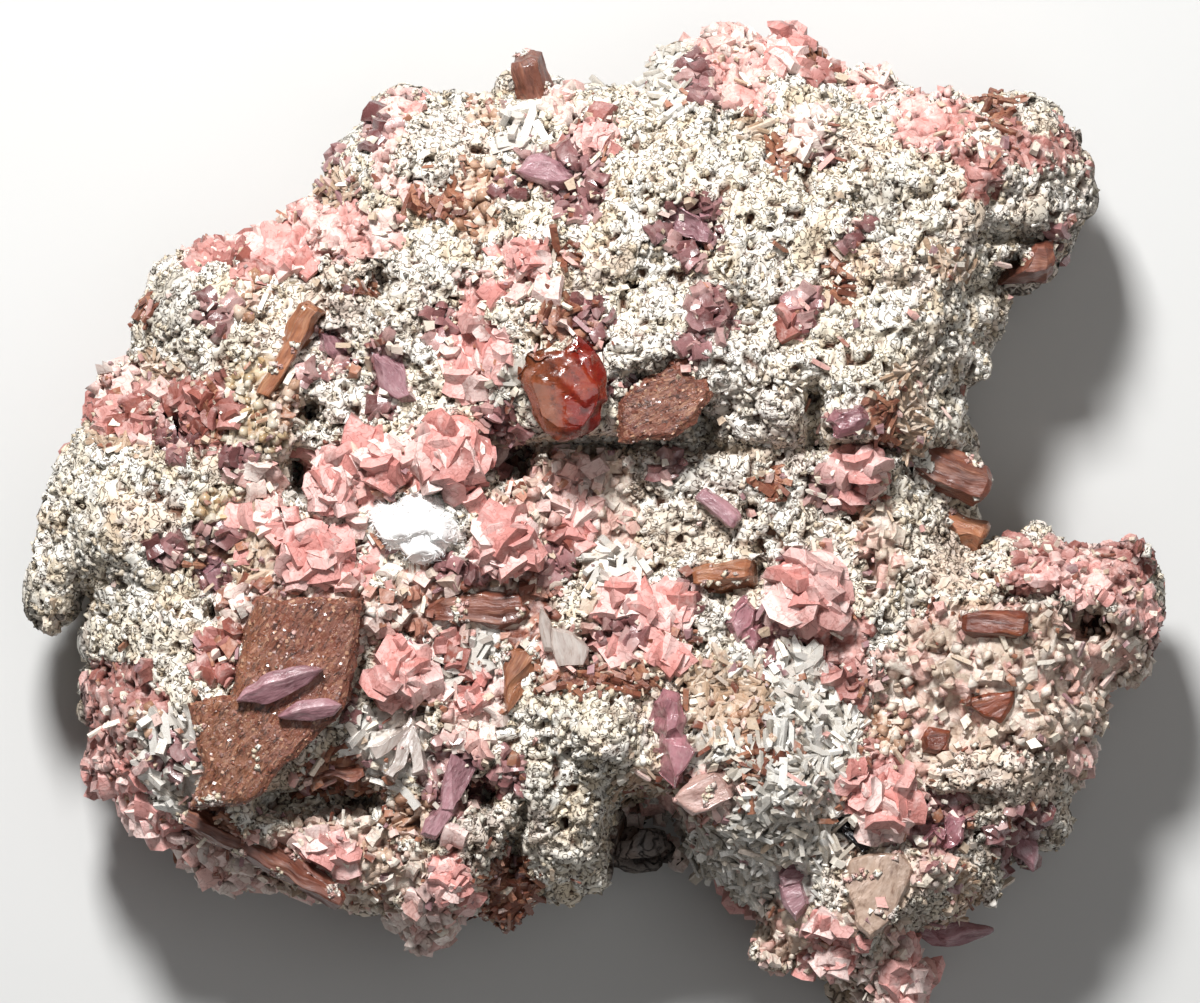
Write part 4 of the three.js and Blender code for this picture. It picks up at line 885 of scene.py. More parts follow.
# ---- Materials -----------------------------------------------------------------------------------------
class Surface:
    """A procedural material whose base colour starts from the `tint` colours of the mesh.

    Sizes are in metres, since the textures follow the object's own coordinates.
    """

    def __init__(self, name, **values):
        self.material = bpy.data.materials.new(name)
        self.material.use_nodes = True
        self.nodes = self.material.node_tree.nodes
        self.links = self.material.node_tree.links
        self.shader = self.nodes["Principled BSDF"]
        for socket, value in values.items():
            self.shader.inputs[socket.replace("_", " ")].default_value = value
        self.place = self.add("ShaderNodeTexCoord").outputs["Object"]
        tint = self.add("ShaderNodeAttribute", attribute_name="tint")
        self.colour = tint.outputs["Color"]
        self.height = None

    def add(self, kind, **settings):
        node = self.nodes.new(kind)
        for setting, value in settings.items():
            setattr(node, setting, value)
        return node

    def own_frame(self, stretch):
        """Texture follows each crystal's own frame, stretched along it."""
        own = self.add("ShaderNodeAttribute", attribute_name="own")
        scaled = self.add("ShaderNodeVectorMath", operation="MULTIPLY")
        self.links.new(own.outputs["Vector"], scaled.inputs[0])
        scaled.inputs[1].default_value = stretch
        self.place = scaled.outputs[0]

    def noise(self, size, detail=3.0, rough=0.6, distortion=0.0):
        """Noise whose lumps are about `size` across."""
        node = self.add("ShaderNodeTexNoise")
        values = {"Scale": 1 / size, "Detail": detail, "Roughness": rough, "Distortion": distortion}
        for socket, value in values.items():
            node.inputs[socket].default_value = value
        self.links.new(self.place, node.inputs["Vector"])
        return node.outputs["Fac"]

    def ranged(self, value, low, high, to_low, to_high):
        node = self.add("ShaderNodeMapRange")
        self.links.new(value, node.inputs["Value"])
        limits = {"From Min": low, "From Max": high, "To Min": to_low, "To Max": to_high}
        for socket, limit in limits.items():
            node.inputs[socket].default_value = limit
        return node.outputs["Result"]

    def creases(self, size, width):
        """1 in thin, wandering creases, down to 0 between them."""
        centred = self.add("ShaderNodeMath", operation="SUBTRACT")
        centred.inputs[1].default_value = 0.5
        self.links.new(self.noise(size, 1.0), centred.inputs[0])
        away = self.add("ShaderNodeMath", operation="ABSOLUTE")
        self.links.new(centred.outputs[0], away.inputs[0])
        return self.ranged(away.outputs[0], 0, width, 1, 0)

    def blend(self, share, colour, mode="MULTIPLY"):
        """Lays a colour over what is there, by a share from 0 to 1."""
        node = self.add("ShaderNodeMix", data_type="RGBA", blend_type=mode)
        self.links.new(share, node.inputs["Factor"])
        self.links.new(self.colour, node.inputs["A"])
        node.inputs["B"].default_value = (*linear(colour), 1)
        self.colour = node.outputs["Result"]

    def mottle(self, size, low, high, share, colour, mode="MULTIPLY", **texture):
        """Lays a colour over what is there, in patches where noise rises from `low` to `high`."""
        self.blend(self.ranged(self.noise(size, **texture), low, high, 0, share), colour, mode)

    def stain(self, value, share, colour):
        """Darkens what is there with a colour where a value is 1."""
        self.blend(self.ranged(value, 0, 1, 0, share), colour)

    def bump(self, value, height):
        """Adds relief of a height in metres."""
        node = self.add("ShaderNodeBump")
        node.inputs["Strength"].default_value = 1
        node.inputs["Distance"].default_value = height
        self.links.new(value, node.inputs["Height"])
        if self.height:
            self.links.new(self.height, node.inputs["Normal"])
        self.height = node.outputs["Normal"]

    def grain(self, size, height, detail=3.0, rough=0.6):
        """Adds fine relief."""
        self.bump(self.noise(size, detail, rough), height)

    def worn(self, size, smoothest, roughest, low=0.3, high=0.7, detail=3.0):
        """Makes the surface smoother and rougher in patches."""
        roughness = self.ranged(self.noise(size, detail), low, high, smoothest, roughest)
        self.links.new(roughness, self.shader.inputs["Roughness"])

    def done(self):
        self.links.new(self.colour, self.shader.inputs["Base Color"])
        self.links.new(self.height, self.shader.inputs["Normal"])
        return self.material


@cache
def crust_material():
    """Rough, chalky crust with hair-fine creases darkened by brown dirt and painted shade, holes darkened
    by painted shade, and stained a little brown in places.
    """
    look = Surface("crust", Specular_IOR_Level=0.4)
    look.mottle(0.004, 0.54, 0.72, 0.45, "#c9a988", detail=4)
    creases = look.creases(0.0008, 0.035)
    holes = look.ranged(look.noise(0.0004, 2), 0.6, 0.66, 0, 1)
    # Brown dirt and painted shade in the creases.
    look.stain(creases, 0.5, "#93704f")
    # Painted shade in the holes.
    look.stain(holes, 0.9, "#4d3320")
    look.worn(0.0005, 0.45, 0.8)
    look.bump(creases, -0.00016)
    look.bump(holes, -0.0002)
    look.grain(0.00012, 0.00006, rough=0.7)
    return look.done()


@cache
def rock_material():
    """The same crust, coarser and greyer, on the walls and the back."""
    look = Surface("rock", Specular_IOR_Level=0.3)
    look.mottle(0.005, 0.5, 0.7, 0.5, "#b89a7c", detail=4)
    creases = look.creases(0.0012, 0.06)
    # Brown dirt and painted shade in the creases.
    look.stain(creases, 0.7, "#5e4a3a")
    look.mottle(0.0004, 0.56, 0.68, 0.8, "#55412f")
    look.worn(0.0007, 0.6, 0.95)
    look.bump(creases, -0.0003)
    look.grain(0.0003, 0.0002, 4, 0.7)
    return look.done()


@cache
def pink_material():
    """Waxy rhombs, paler in streaks, with worn, powdery skin."""
    look = Surface("pink_stone", Coat_Weight=0.12, Coat_Roughness=0.3)
    look.mottle(0.0012, 0.52, 0.74, 0.5, "#f8ebe5", "MIX", detail=4)
    look.mottle(0.0005, 0.52, 0.7, 0.5, "#cda199")
    look.stain(look.creases(0.0009, 0.03), 0.5, "#a5746a")
    look.worn(0.0006, 0.32, 0.62)
    look.grain(0.00025, 0.00008, 4, 0.65)
    return look.done()


@cache
def debris_material():
    """Dusty chips of mixed stone."""
    look = Surface("broken_bits", Coat_Weight=0.1, Coat_Roughness=0.3)
    look.mottle(0.0006, 0.5, 0.7, 0.4, "#f4ece0", "MIX")
    look.mottle(0.0003, 0.55, 0.7, 0.6, "#7b5b48")
    look.worn(0.0005, 0.3, 0.7)
    look.grain(0.0002, 0.00005)
    return look.done()


@cache
def mauve_material():
    """Glassy mauve crystals, cloudy inside."""
    look = Surface(
        "mauve_glass", Transmission_Weight=0.12, IOR=1.6, Coat_Weight=0.3, Coat_Roughness=0.12
    )
    look.mottle(0.0014, 0.5, 0.75, 0.5, "#dcc5c2", "MIX", detail=4, rough=0.65, distortion=0.6)
    look.mottle(0.0006, 0.52, 0.72, 0.5, "#997072")
    look.worn(0.0008, 0.14, 0.42)
    look.grain(0.0003, 0.00005)
    return look.done()


@cache
def brown_grain_material():
    """Small brown blades, streaked and shiny."""
    look = Surface("brown_blades", Coat_Weight=0.2, Coat_Roughness=0.2)
    look.mottle(0.0007, 0.5, 0.72, 0.5, "#c99c7c", "MIX", detail=4)
    look.mottle(0.0004, 0.55, 0.72, 0.6, "#4a2418")
    look.worn(0.0005, 0.22, 0.55)
    look.grain(0.0002, 0.00008, 4, 0.65)
    return look.done()


@cache
def clear_blade_material():
    """Cloudy, half-clear blades."""
    look = Surface(
        "clear_blades", Transmission_Weight=0.2, IOR=1.52, Coat_Weight=0.2, Coat_Roughness=0.1
    )
    look.mottle(0.001, 0.5, 0.75, 0.6, "#f2f1ec", "MIX", detail=4)
    look.mottle(0.0007, 0.58, 0.75, 0.4, "#9c8d78")
    look.worn(0.0006, 0.14, 0.4)
    look.grain(0.0003, 0.00005)
    return look.done()


@cache
def striped_material(name, pale, deep, rough, clear=0.0, streak=0.14):
    """A crystal streaked along its length, with cloudy and darker parts."""
    look = Surface(
        name, Transmission_Weight=clear, IOR=1.62, Coat_Weight=0.3 + clear, Coat_Roughness=0.12
    )
    look.mottle(0.0022, 0.45, 0.72, 0.55, deep, detail=4, distortion=0.4)
    look.own_frame((streak, 1, 1))
    look.mottle(0.00045, 0.5, 0.7, 0.55, pale, "MIX", detail=4)
    look.mottle(0.0003, 0.52, 0.7, 0.6, deep, detail=4)
    look.worn(0.0005, rough * 0.6, rough * 1.5)
    look.grain(0.0003, 0.00012, 5, 0.65)
    return look.done()


@cache
def sparkling_material():
    """Brown crystal with a fine, fibrous grain and countless tiny facets."""
    look = Surface("sparkling_brown", Coat_Weight=0.25, Coat_Roughness=0.12)
    look.mottle(0.003, 0.45, 0.7, 0.4, "#9c6850", "MIX", detail=4)
    look.own_frame((0.35, 1, 1))
    look.mottle(0.00035, 0.5, 0.66, 0.6, "#b98a6e", "MIX", rough=0.7)
    look.mottle(0.0003, 0.5, 0.64, 0.8, "#4c2619", rough=0.7)
    look.worn(0.0004, 0.15, 0.6, 0.35, 0.65, 2)
    look.grain(0.0003, 0.00022, 4, 0.7)
    return look.done()


@cache
def red_glass_material():
    """Deep, half-clear red crystal with browner clouds inside and a gently uneven skin."""
    look = Surface(
        "red_glass", Transmission_Weight=0.3, IOR=1.66, Coat_Weight=0.8, Coat_Roughness=0.06
    )
    look.mottle(0.0016, 0.5, 0.7, 0.5, "#b8552f", "MIX", detail=4, distortion=0.8)
    look.mottle(0.0009, 0.5, 0.7, 0.7, "#5c1c10", detail=4)
    look.worn(0.0011, 0.06, 0.35, 0.35, 0.65)
    look.grain(0.0022, 0.00012, 1)
    look.grain(0.0004, 0.00006)
    return look.done()


@cache
def fibre_material():
    """Snow-white, silky fibres."""
    look = Surface("white_fibre", Specular_IOR_Level=0.5)
    look.mottle(0.0012, 0.5, 0.75, 0.25, "#f2f0ee")
    look.worn(0.0004, 0.6, 0.9)
    look.grain(0.00012, 0.00004)
    return look.done()


@cache
def black_material():
    """Black, shining needles."""
    look = Surface("black_needles", Coat_Weight=0.4, Coat_Roughness=0.1)
    look.own_frame((0.1, 1, 1))
    look.mottle(0.0003, 0.5, 0.7, 0.4, "#3b3f4a", "MIX")
    look.worn(0.0003, 0.12, 0.4)
    look.grain(0.00025, 0.0001)
    return look.done()


COVERS = {  # piece: its material, its slot in the record, and the kinds that it holds
    "crust": (crust_material, "cream_crusted_rock", ("cream", "fine", "white", "ash", "dark")),
    "rhombs": (
        pink_material, "pink_crystal", ("pink", "bloom", "dusty", "pale", "mixed", "salmon", "blocky"),
    ),
    "mauves": (mauve_material, "mauve_crystal", ("mauve",)),
    "browns": (brown_grain_material, "red_brown_crystal", ("brown", "rust", "tan")),
    "blades": (clear_blade_material, "pale_crystal", ("grey", "lath", "yellow")),
}

# ---- The rock's own relief -----------------------------------------------------------------------------
LEVELLED = {"worms": 0.6, "blocks": 0.35}  # usual height of each relief, as a share of its full height


def worms(points, size, seed):
    """Height from 0 to 1 of a crust of worm-like, grown-together grains, with creases and holes."""
    wide = smoothstep(0.0, 0.25, np.abs(noise(points, size, seed)))
    narrow = smoothstep(0.0, 0.3, np.abs(noise(points, size * 0.6, seed + 1)))
    holes = smoothstep(0.34, 0.56, noise(points, size * 0.62, seed + 2))
    return (0.55 * wide + 0.45 * narrow) * (1 - holes) - 0.9 * holes


def blocks(points, size, aspect, seed):
    """Height of a druse of overlapping, tilted blocks, and a number from 0 to 1 for each block."""
    traits = np.random.default_rng(seed).uniform(-1, 1, (LATTICE,) * 3 + (7,))
    home = np.floor(points / size).astype(int)
    best = np.full(len(points), -2.0)
    owner = np.zeros(len(points))
    for shift in itertools.product((-1, 0, 1), repeat=3):
        cell = home + shift
        own = traits[tuple((cell % LATTICE).T)]
        turn, lean_along, lean_across, rank = own[:, 3:].T
        x, y, z = (points / size - cell - 0.5 - 0.45 * own[:, :3]).T
        cos, sin = np.cos(turn * math.pi), np.sin(turn * math.pi)
        along = x * cos + y * sin + 0.4 * z * lean_along
        across = y * cos - x * sin + 0.4 * z * lean_across
        top = 0.35 * rank + 0.5 * lean_along * along + 0.5 * lean_across * across - 0.4 * z**2
        sides = np.minimum(0.62 * aspect - np.abs(along), 0.62 - np.abs(across)) * 3 - 0.9
        height = np.minimum(top, sides)
        higher = height > best
        best = np.where(higher, height, best)
        owner = np.where(higher, rank * 0.5 + 0.5, owner)
    return best, owner


def kinds_at(points):
    """Number of the kind of cover at each point, with ragged edges between the patches."""
    wander = np.stack([noise(points, 1.6, seed) for seed in (60, 61)], -1) * 9
    wander += np.random.default_rng(60).normal(0, 2.5, wander.shape)
    drift = np.stack([noise(points, 6, seed) for seed in (62, 63)], -1)
    wander += WALL_DRIFT * drift * smoothstep(FINE_FROM, 6, points[:, 2])[:, None]
    places = to_grid(points) + wander
    names = list(KINDS)
    kind = np.full(len(points), names.index("cream"))
    for name, *box in PATCHES:
        kind[in_box(places, box) < 1] = names.index(name)
    return kind


def stained(tone, colour, share):
    """Colours darkened with another, as far as each point's share says."""
    share = share[:, None]
    return tone * (1 - share) + tone * linear(colour) * share


def relief_and_tone(points, kind, coarse):
    """How far each point of the rock is raised, and its colour."""
    raised = np.zeros(len(points))
    tone = np.zeros((len(points), 3))
    for number, style in enumerate(KINDS.values()):
        own = kind == number
        if not own.any():
            continue
        form, size, height, *aspect = style["relief"]
        place = points[own] / coarse[own][:, None]
        if form == "worms":
            high = worms(place, size, 300 + number)
            pick = (noise(points[own], 2.4, 350) + 1) / 2
        else:
            high, pick = blocks(place, size, *aspect, 300 + number)
        raised[own] = (high - LEVELLED[form]) * height * coarse[own]
        colours = palette(style["colours"])
        tone[own] = colours[np.clip(pick * len(colours), 0, len(colours) - 1).astype(int)]
    tone = stained(tone, "#e9bda9", 0.3 * smoothstep(0, 0.6, noise(points, 5, 352)))
    return raised, tone * (1 + 0.08 * noise(points, 3, 9))[:, None]


def weathered(tone, points, crease, hollow):
    """The rock's colours: brown dirt and painted shade in its creases, painted shade in its hollows, and a
    painted highlight with wear on its ridges.
    """
    # Brown dirt and painted shade darken the creases.
    tone = stained(tone, "#633c24", 0.96 * smoothstep(0.04, 0.25, crease))
    # Painted shade darkens the hollows.
    tone *= (1 - 0.85 * smoothstep(0.3, 1.4, hollow))[:, None]
    # Painted highlight and wear make the ridges paler.
    tone += (1 - tone) * 0.2 * smoothstep(0.05, 0.25, -crease)[:, None]
    return stained(tone, "#d9cbb8", smoothstep(WAIST, 3, points[:, 2]))


def ground_pieces(points, faces, kind, tone):
    """The front's own surface, split by what grows there and by the limit on triangles."""
    names = list(KINDS)
    for piece, (make_material, slot, held) in COVERS.items():
        own = faces[np.isin(kind[faces[:, 0]], [names.index(name) for name in held])]
        own = own[np.argsort(points[own[:, 0], 0], kind="stable")]
        parts = np.array_split(own, math.ceil(len(own) / MOST_TRIANGLES))
        for number, part in enumerate(parts):
            mesh = compact(points, part, tone)
            built = mesh_piece(f"{piece}_ground_{number + 1}", *mesh, make_material(), slot)
            if piece != "crust":
                built.data.set_sharp_from_angle(angle=GROUND_CRISP)


def dressed_rock(points, faces, normals, hollow, lowered):
    """Builds the rock's pieces: a finer front, split by what grows there, and the walls and back."""
    chosen = points[faces][:, :, 2].min(1) > FINE_FROM
    ends, border, small = split_faces(points, faces, chosen)
    old = len(points)
    points, normals, hollow = (
        np.concatenate([column, column[ends].mean(1)]) for column in (points, normals, hollow)
    )
    kind = kinds_at(points)
    coarse = 1 + (WALL_COARSE - 1) * smoothstep(FINE_FROM, WAIST, points[:, 2])
    raised, tone = relief_and_tone(points, kind, coarse)
    raised *= smoothstep(0.4, 1.2, points[:, 2])
    points = lowered(points + normals * raised[:, None])
    points[old:][border] = points[ends[border]].mean(1)

    everything = np.concatenate([faces[~chosen], small])
    crease = hollows(points, everything, point_normals(points, everything), 6)
    tone = weathered(tone, points, crease, hollow)
    back = compact(points, faces[~chosen], tone)
    mesh_piece("rock", *back, rock_material(), "cream_crusted_rock", replaced=("matrix",))
    ground_pieces(points, small, kind, tone)


# ---- The cover of grains and small crystals ------------------------------------------------------------
DEBRIS = [
    "#efe6d8", "#e3d3c4", "#e8c9bf", "#d9a79e", "#cbb49c", "#a9735a", "#8a5241", "#a57d80", "#efe2cf",
]


def strewn(random, areas, count):
    """Random spots over faces of given areas: their faces, and each corner's share in them."""
    pick = np.searchsorted(np.cumsum(areas), random.uniform(0, areas.sum(), count))
    return pick, random.dirichlet((1, 1, 1), count)


def candidates(points, faces, normals, hollow):
    """Random spots on the rock, with its normal and hollowness there."""
    a, b, c = (points[faces[:, n]] for n in range(3))
    area = np.linalg.norm(np.cross(b - a, c - a), axis=1)
    area *= np.where(a[:, 2] < 0.7, 0, np.where(a[:, 2] < WAIST, 0.35, 1))
    pick, shares = strewn(np.random.default_rng(5), area, CANDIDATES)

    def mixed(values):
        return sum(shares[:, n:n + 1] * values[faces[pick, n]] for n in range(3))

    facing = mixed(normals)
    facing /= np.linalg.norm(facing, axis=1)[:, None]
    return mixed(points), facing, mixed(hollow[:, None])[:, 0]


def thinned(points, gap):
    """One point from each cube of side `gap`."""
    cells = np.floor(points / gap[:, None]).astype(np.int64)
    key = (cells[:, 0] * 4096 + cells[:, 1]) * 4096 + cells[:, 2]
    return np.unique(key, return_index=True)[1]


def over_crystals(points, reach, crystals):
    """Whether a grain that reaches so far round each point would cover a CAD crystal."""
    covering = np.zeros(len(points), bool)
    for n, (point, wide) in enumerate(zip(points, reach)):
        for x, y in ((0, 0), (1, 0), (-1, 0), (0, 1), (0, -1)):
            above = (point + (x * wide, y * wide, 6)) * MM
            if crystals.ray_cast(tuple(above), (0, 0, -1), 6.8 * MM)[0]:
                covering[n] = True
                break
    return covering


def tints_drawn(random, colours, count):
    """Colours picked at random, as linear red, green and blue."""
    return palette(colours)[random.integers(len(colours), size=count)]


def frames_drawn(random, facing, spread, lean=0):
    """Frames spun at random about each normal, leaning from it by about `lean` radians."""
    count = len(facing)
    spins = random.uniform(0, 2 * math.pi, count)
    return upright_frames(facing, spins, random.normal(lean, spread, count))


def grains_of(name, spots, facing, depth, kind):
    """Piles of grains of one kind, each with whether its grains have flat faces."""
    style = KINDS[name]
    number = list(KINDS).index(name)
    own = np.nonzero(kind == number)[0]
    coarse = 1 + (WALL_COARSE - 1) * (spots[own, 2] < WAIST)
    kept = thinned(spots[own], style["gap"] * coarse)
    own, coarse = own[kept], coarse[kept]
    random = np.random.default_rng(number + 100)
    size = random.uniform(*style["size"], len(own)) * (1 + 0.3 * (coarse - 1))
    crowded = over_crystals(spots[own], 0.5 * size, tree_of(*CRYSTAL_NODES))
    free = ~crowded & (depth[own] < BARE_HOLLOW)
    own, size = own[free], size[free]
    spots, facing, depth = spots[own], facing[own], depth[own]

    shapes = random.choice(style["shapes"], len(own))
    spins = random.uniform(0, 2 * math.pi, len(own))
    if "bundles" in style:
        spins = 5 * noise(spots, style["bundles"], number) + random.normal(0, 0.3, len(own))
    tone = tints_drawn(random, style["colours"], len(own))
    tone = tone * (random.uniform(0.92, 1.05, len(own)) * (1 + 0.08 * noise(spots, 3, 9)))[:, None]
    # Painted shade: grains deep in the rock's hollows are darker.
    tone = tone * (1 - 0.85 * smoothstep(0.25, 1.2, depth))[:, None]
    frames = upright_frames(facing, spins, random.normal(0, style["tilt"], len(own)) * 0.7)
    for shape in sorted(set(style["shapes"])):
        like = shapes == shape
        lifted = spots[like] + facing[like] * (size[like] * 0.05)[:, None]
        yield shape in FLAT_SHAPES, pile(shape, lifted, frames[like], size[like], tone[like], number)


def debris(spots, facing, depth, kind):
    """Small broken bits of every colour, lying between the crystals."""
    random = np.random.default_rng(77)
    names = list(KINDS)
    share = np.ones(len(names))
    share[[names.index(name) for name in COVERS["crust"][2]]] = 0.002
    share[[names.index(name) for name in ("bloom", "dusty", "blocky", "grey")]] = 0.03
    own = np.nonzero((spots[:, 2] > FINE_FROM) & (random.uniform(size=len(spots)) < share[kind]))[0]
    own = own[thinned(spots[own], np.full(len(own), 1.5))]
    # Painted shade: bits deep in the rock's hollows are darker.
    tints = tints_drawn(random, DEBRIS, len(own)) * (1 - 0.6 * smoothstep(0.3, 1.3, depth[own]))[:, None]
    frames = frames_drawn(random, facing[own], 0.7)
    size = random.uniform(0.3, 0.85, len(own))
    lifted = spots[own] + facing[own] * random.uniform(0.1, 0.5, (len(own), 1))
    parts = []
    for start, (shape, length) in enumerate((("chip", 1), ("nub", 1), ("blade", 2.2))):
        own = slice(start, None, 3)
        parts.append(pile(shape, lifted[own], frames[own], size[own] * length, tints[own], 78 + start))
    joined_pieces("broken_bits", parts, debris_material(), "pale_crystal", False)


def rock_and_cover():
    """The rock and everything small that grows on it."""
    field, axes, tops = rock_field()
    points, faces = main_part(*surface(field, axes))
    faces = np.concatenate([faces[:, [0, 1, 2]], faces[:, [0, 2, 3]]])
    normals = point_normals(points, faces)
    hollow = hollows(points, faces, normals, 14)
    dressed_rock(points, faces, normals, hollow, lambda places: cleared(places, tops, axes))

    spots, facing, depth = candidates(points, faces, normals, hollow)
    spots = cleared(spots, tops, axes)
    cover = spots, facing, depth, kinds_at(spots)
    for piece, (make_material, slot, held) in COVERS.items():
        found = {}
        for name in held:
            for flat, grains in grains_of(name, *cover):
                found.setdefault(flat, []).append(grains)
        for flat, parts in found.items():
            title = f"{piece}_{'flat' if flat else 'round'}"
            joined_pieces(title, parts, make_material(), slot, not flat)
    debris(*cover)


# ---- The CAD crystals' finish --------------------------------------------------------------------------
PLAIN_STYLES = {"red": red_glass_material, "sparkling": sparkling_material, "black": black_material}
# The other styles: material, pale and deep streaks, roughness, clearness, and how short the streaks are.
STRIPES = {
    "brown": ("red_brown", "#b07a60", "#6b3626", 0.4),
    "dark": ("dark_brown", "#a5623f", "#451b10", 0.36),
    "orange": ("orange_brown", "#cc9a76", "#87492e", 0.34, 0.08),
    "rust": ("rust_brown", "#b06a40", "#4a1d10", 0.36),
    "mauve": ("mauve", "#d6b5b7", "#94656e", 0.22, 0.15, 0.3),
    "rose": ("rose", "#dcb3b3", "#96545e", 0.14, 0.3, 0.4),
    "pale": ("pale", "#f4eee6", "#b09a8e", 0.16, 0.35, 0.2),
    "plate": ("pale_pink", "#e3c8bd", "#94706a", 0.2, 0.2, 0.5),
    "tan": ("tan", "#d6c0b0", "#8d6e5c", 0.4, 0.0, 0.5),
}
STYLES = {  # colour, slot, softened edge, ridges along the crystal, and lumps
    "red": ("#861c0e", "glassy_red_crystal", 0.08, 0.02, 0.03),
    "brown": ("#784535", "red_brown_crystal", 0.12, 0.09, 0.07),
    "sparkling": ("#784535", "red_brown_crystal", 0.12, 0.06, 0.07),
    "dark": ("#74341f", "red_brown_crystal", 0.1, 0.07, 0.05),
    "orange": ("#a66a49", "orange_brown_crystal", 0.12, 0.08, 0.05),
    "rust": ("#7d3a20", "orange_brown_crystal", 0.1, 0.07, 0.05),
    "mauve": ("#b2848b", "mauve_crystal", 0.12, 0.02, 0.05),
    "rose": ("#bd828a", "mauve_crystal", 0.18, 0.0, 0.07),
    "pale": ("#dccdc4", "pale_crystal", 0.1, 0.04, 0.03),
    "plate": ("#c7a196", "pale_pink_crystal", 0.14, 0.02, 0.08),
    "tan": ("#b59a87", "tan_crystal", 0.14, 0.02, 0.09),
    "black": ("#15151a", "black_crystal", 0.05, 0.1, 0.0),
}
CRYSTALS = {  # CAD node: its style, and the direction that it is streaked along, anticlockwise from +X
    "main_red_crystal": ("red", 70), "sparkling_brown_block": ("sparkling", 25),
    "great_brown_plate": ("sparkling", 55), "long_brown_rod": ("brown", -29),
    "upper_left_prism": ("orange", 62), "centre_brown_blade": ("brown", 2),
    "centre_orange_wedge": ("orange", 60), "summit_prism": ("brown", 118), "ear_prism": ("brown", 3),
    "right_upper_prism": ("brown", -21), "right_lower_prism": ("orange", -25),
    "arm_dark_prism": ("dark", -4), "arm_orange_plate": ("rust", 20), "arm_hexagonal_prism": ("dark", 10),
    "orange_prism": ("orange", 6), "shadowed_brown_shard": ("brown", 8),
    "mauve_blade_on_plate_1": ("mauve", 20), "mauve_blade_on_plate_2": ("mauve", 9),
    "mauve_prism_middle": ("mauve", -41), "mauve_pair_centre": ("rose", 80),
    "mauve_pair_upper": ("mauve", -15), "mauve_stub_dark": ("mauve", -30), "mauve_pair_top": ("mauve", -20),
    "mauve_spear_left": ("mauve", -60), "mauve_star_left": ("mauve", -45),
    "mauve_pair_lobe": ("mauve", -35), "mauve_star_lower": ("mauve", 60), "mauve_pair_foot": ("mauve", 30),
    "rose_glassy_crystal": ("rose", 10), "mauve_spear_rim": ("mauve", -60),
    "mauve_lens_at_foot": ("mauve", 10), "rose_glassy_pair": ("rose", 70),
    "rose_cluster_foot": ("rose", 50), "pale_twin_blades": ("pale", 100), "pale_pink_plate": ("plate", 20),
    "tan_plate": ("tan", 70), "black_needle_bundle": ("black", -42), "white_blade_fan": ("pale", 65),
}
SECOND_COLOURS = {  # CAD node: the colour of its left part, and where that starts to fade and ends
    "main_red_crystal": ("#8d4c2d", 545, 585),
    "sparkling_brown_block": ("#6b3a30", 625, 665),
    "great_brown_plate": ("#83523a", 235, 300),
}
STEPPED = {  # CAD node: size and height of the steps and facets on its skin
    "main_red_crystal": (3.4, 0.8), "rose_glassy_crystal": (2.0, 0.5), "rose_glassy_pair": (2.0, 0.4),
    "rose_cluster_foot": (1.8, 0.5), "mauve_pair_centre": (2.6, 0.4), "mauve_stub_dark": (1.8, 0.4),
}
CRUMBED = {  # large crystal: how much of it is strewn with crumbs of its surroundings
    "great_brown_plate": 0.02, "sparkling_brown_block": 0.06, "long_brown_rod": 0.08,
    "upper_left_prism": 0.08, "centre_brown_blade": 0.06, "centre_orange_wedge": 0.08, "ear_prism": 0.06,
    "right_upper_prism": 0.06, "right_lower_prism": 0.08, "arm_dark_prism": 0.12, "orange_prism": 0.06,
    "summit_prism": 0.08, "tan_plate": 0.16, "pale_pink_plate": 0.06, "shadowed_brown_shard": 0.12,
}
UNDER_ROCK = ("ear_prism",)  # held by rock all round, so it has no foot
GLITTER = ("#8a5341", "#95604b", "#7f4b3a", "#bd9276", "#764435")
GLITTER_SHARES = (0.28, 0.23, 0.2, 0.14, 0.15)  # of those colours


def style_material(style):
    """The material of a style of crystal."""
    return striped_material(*STRIPES[style]) if style in STRIPES else PLAIN_STYLES[style]()


def sink_foot(work, carriers):
    """Runs a crystal's corners near what carries it on into that, and gives those corners."""
    foot = set()
    for vert in work.verts:
        _, facing, _, away = carriers.find_nearest(vert.co * MM)
        if away < NEAR_ROCK * MM:
            foot.add(vert)
            vert.co -= facing * SINK
    return foot


def soften(work, foot, soft):
    """Bevels the sharp edges, other than the foot's."""
    sharp = [
        edge for edge in work.edges
        if len(edge.link_faces) == 2 and edge.calc_face_angle() > 0.3 and not (foot & set(edge.verts))
    ]
    bmesh.ops.bevel(
        work, geom=sharp, offset=soft, segments=2, profile=0.6, affect="EDGES", clamp_overlap=True
    )


def in_fixed_order(points, normals, faces):
    """The same mesh in sorted order, since the order that Blender gives varies from run to run."""
    normals = normals.round(5)
    order = np.lexsort(np.hstack([normals, points]).T)
    points, normals, faces = points[order], normals[order], np.argsort(order)[faces]
    first = faces.argmin(1)[:, None]
    faces = np.take_along_axis(faces, (first + np.arange(3)) % 3, 1)
    return points, faces[np.lexsort(points[faces].mean(1).T)], normals


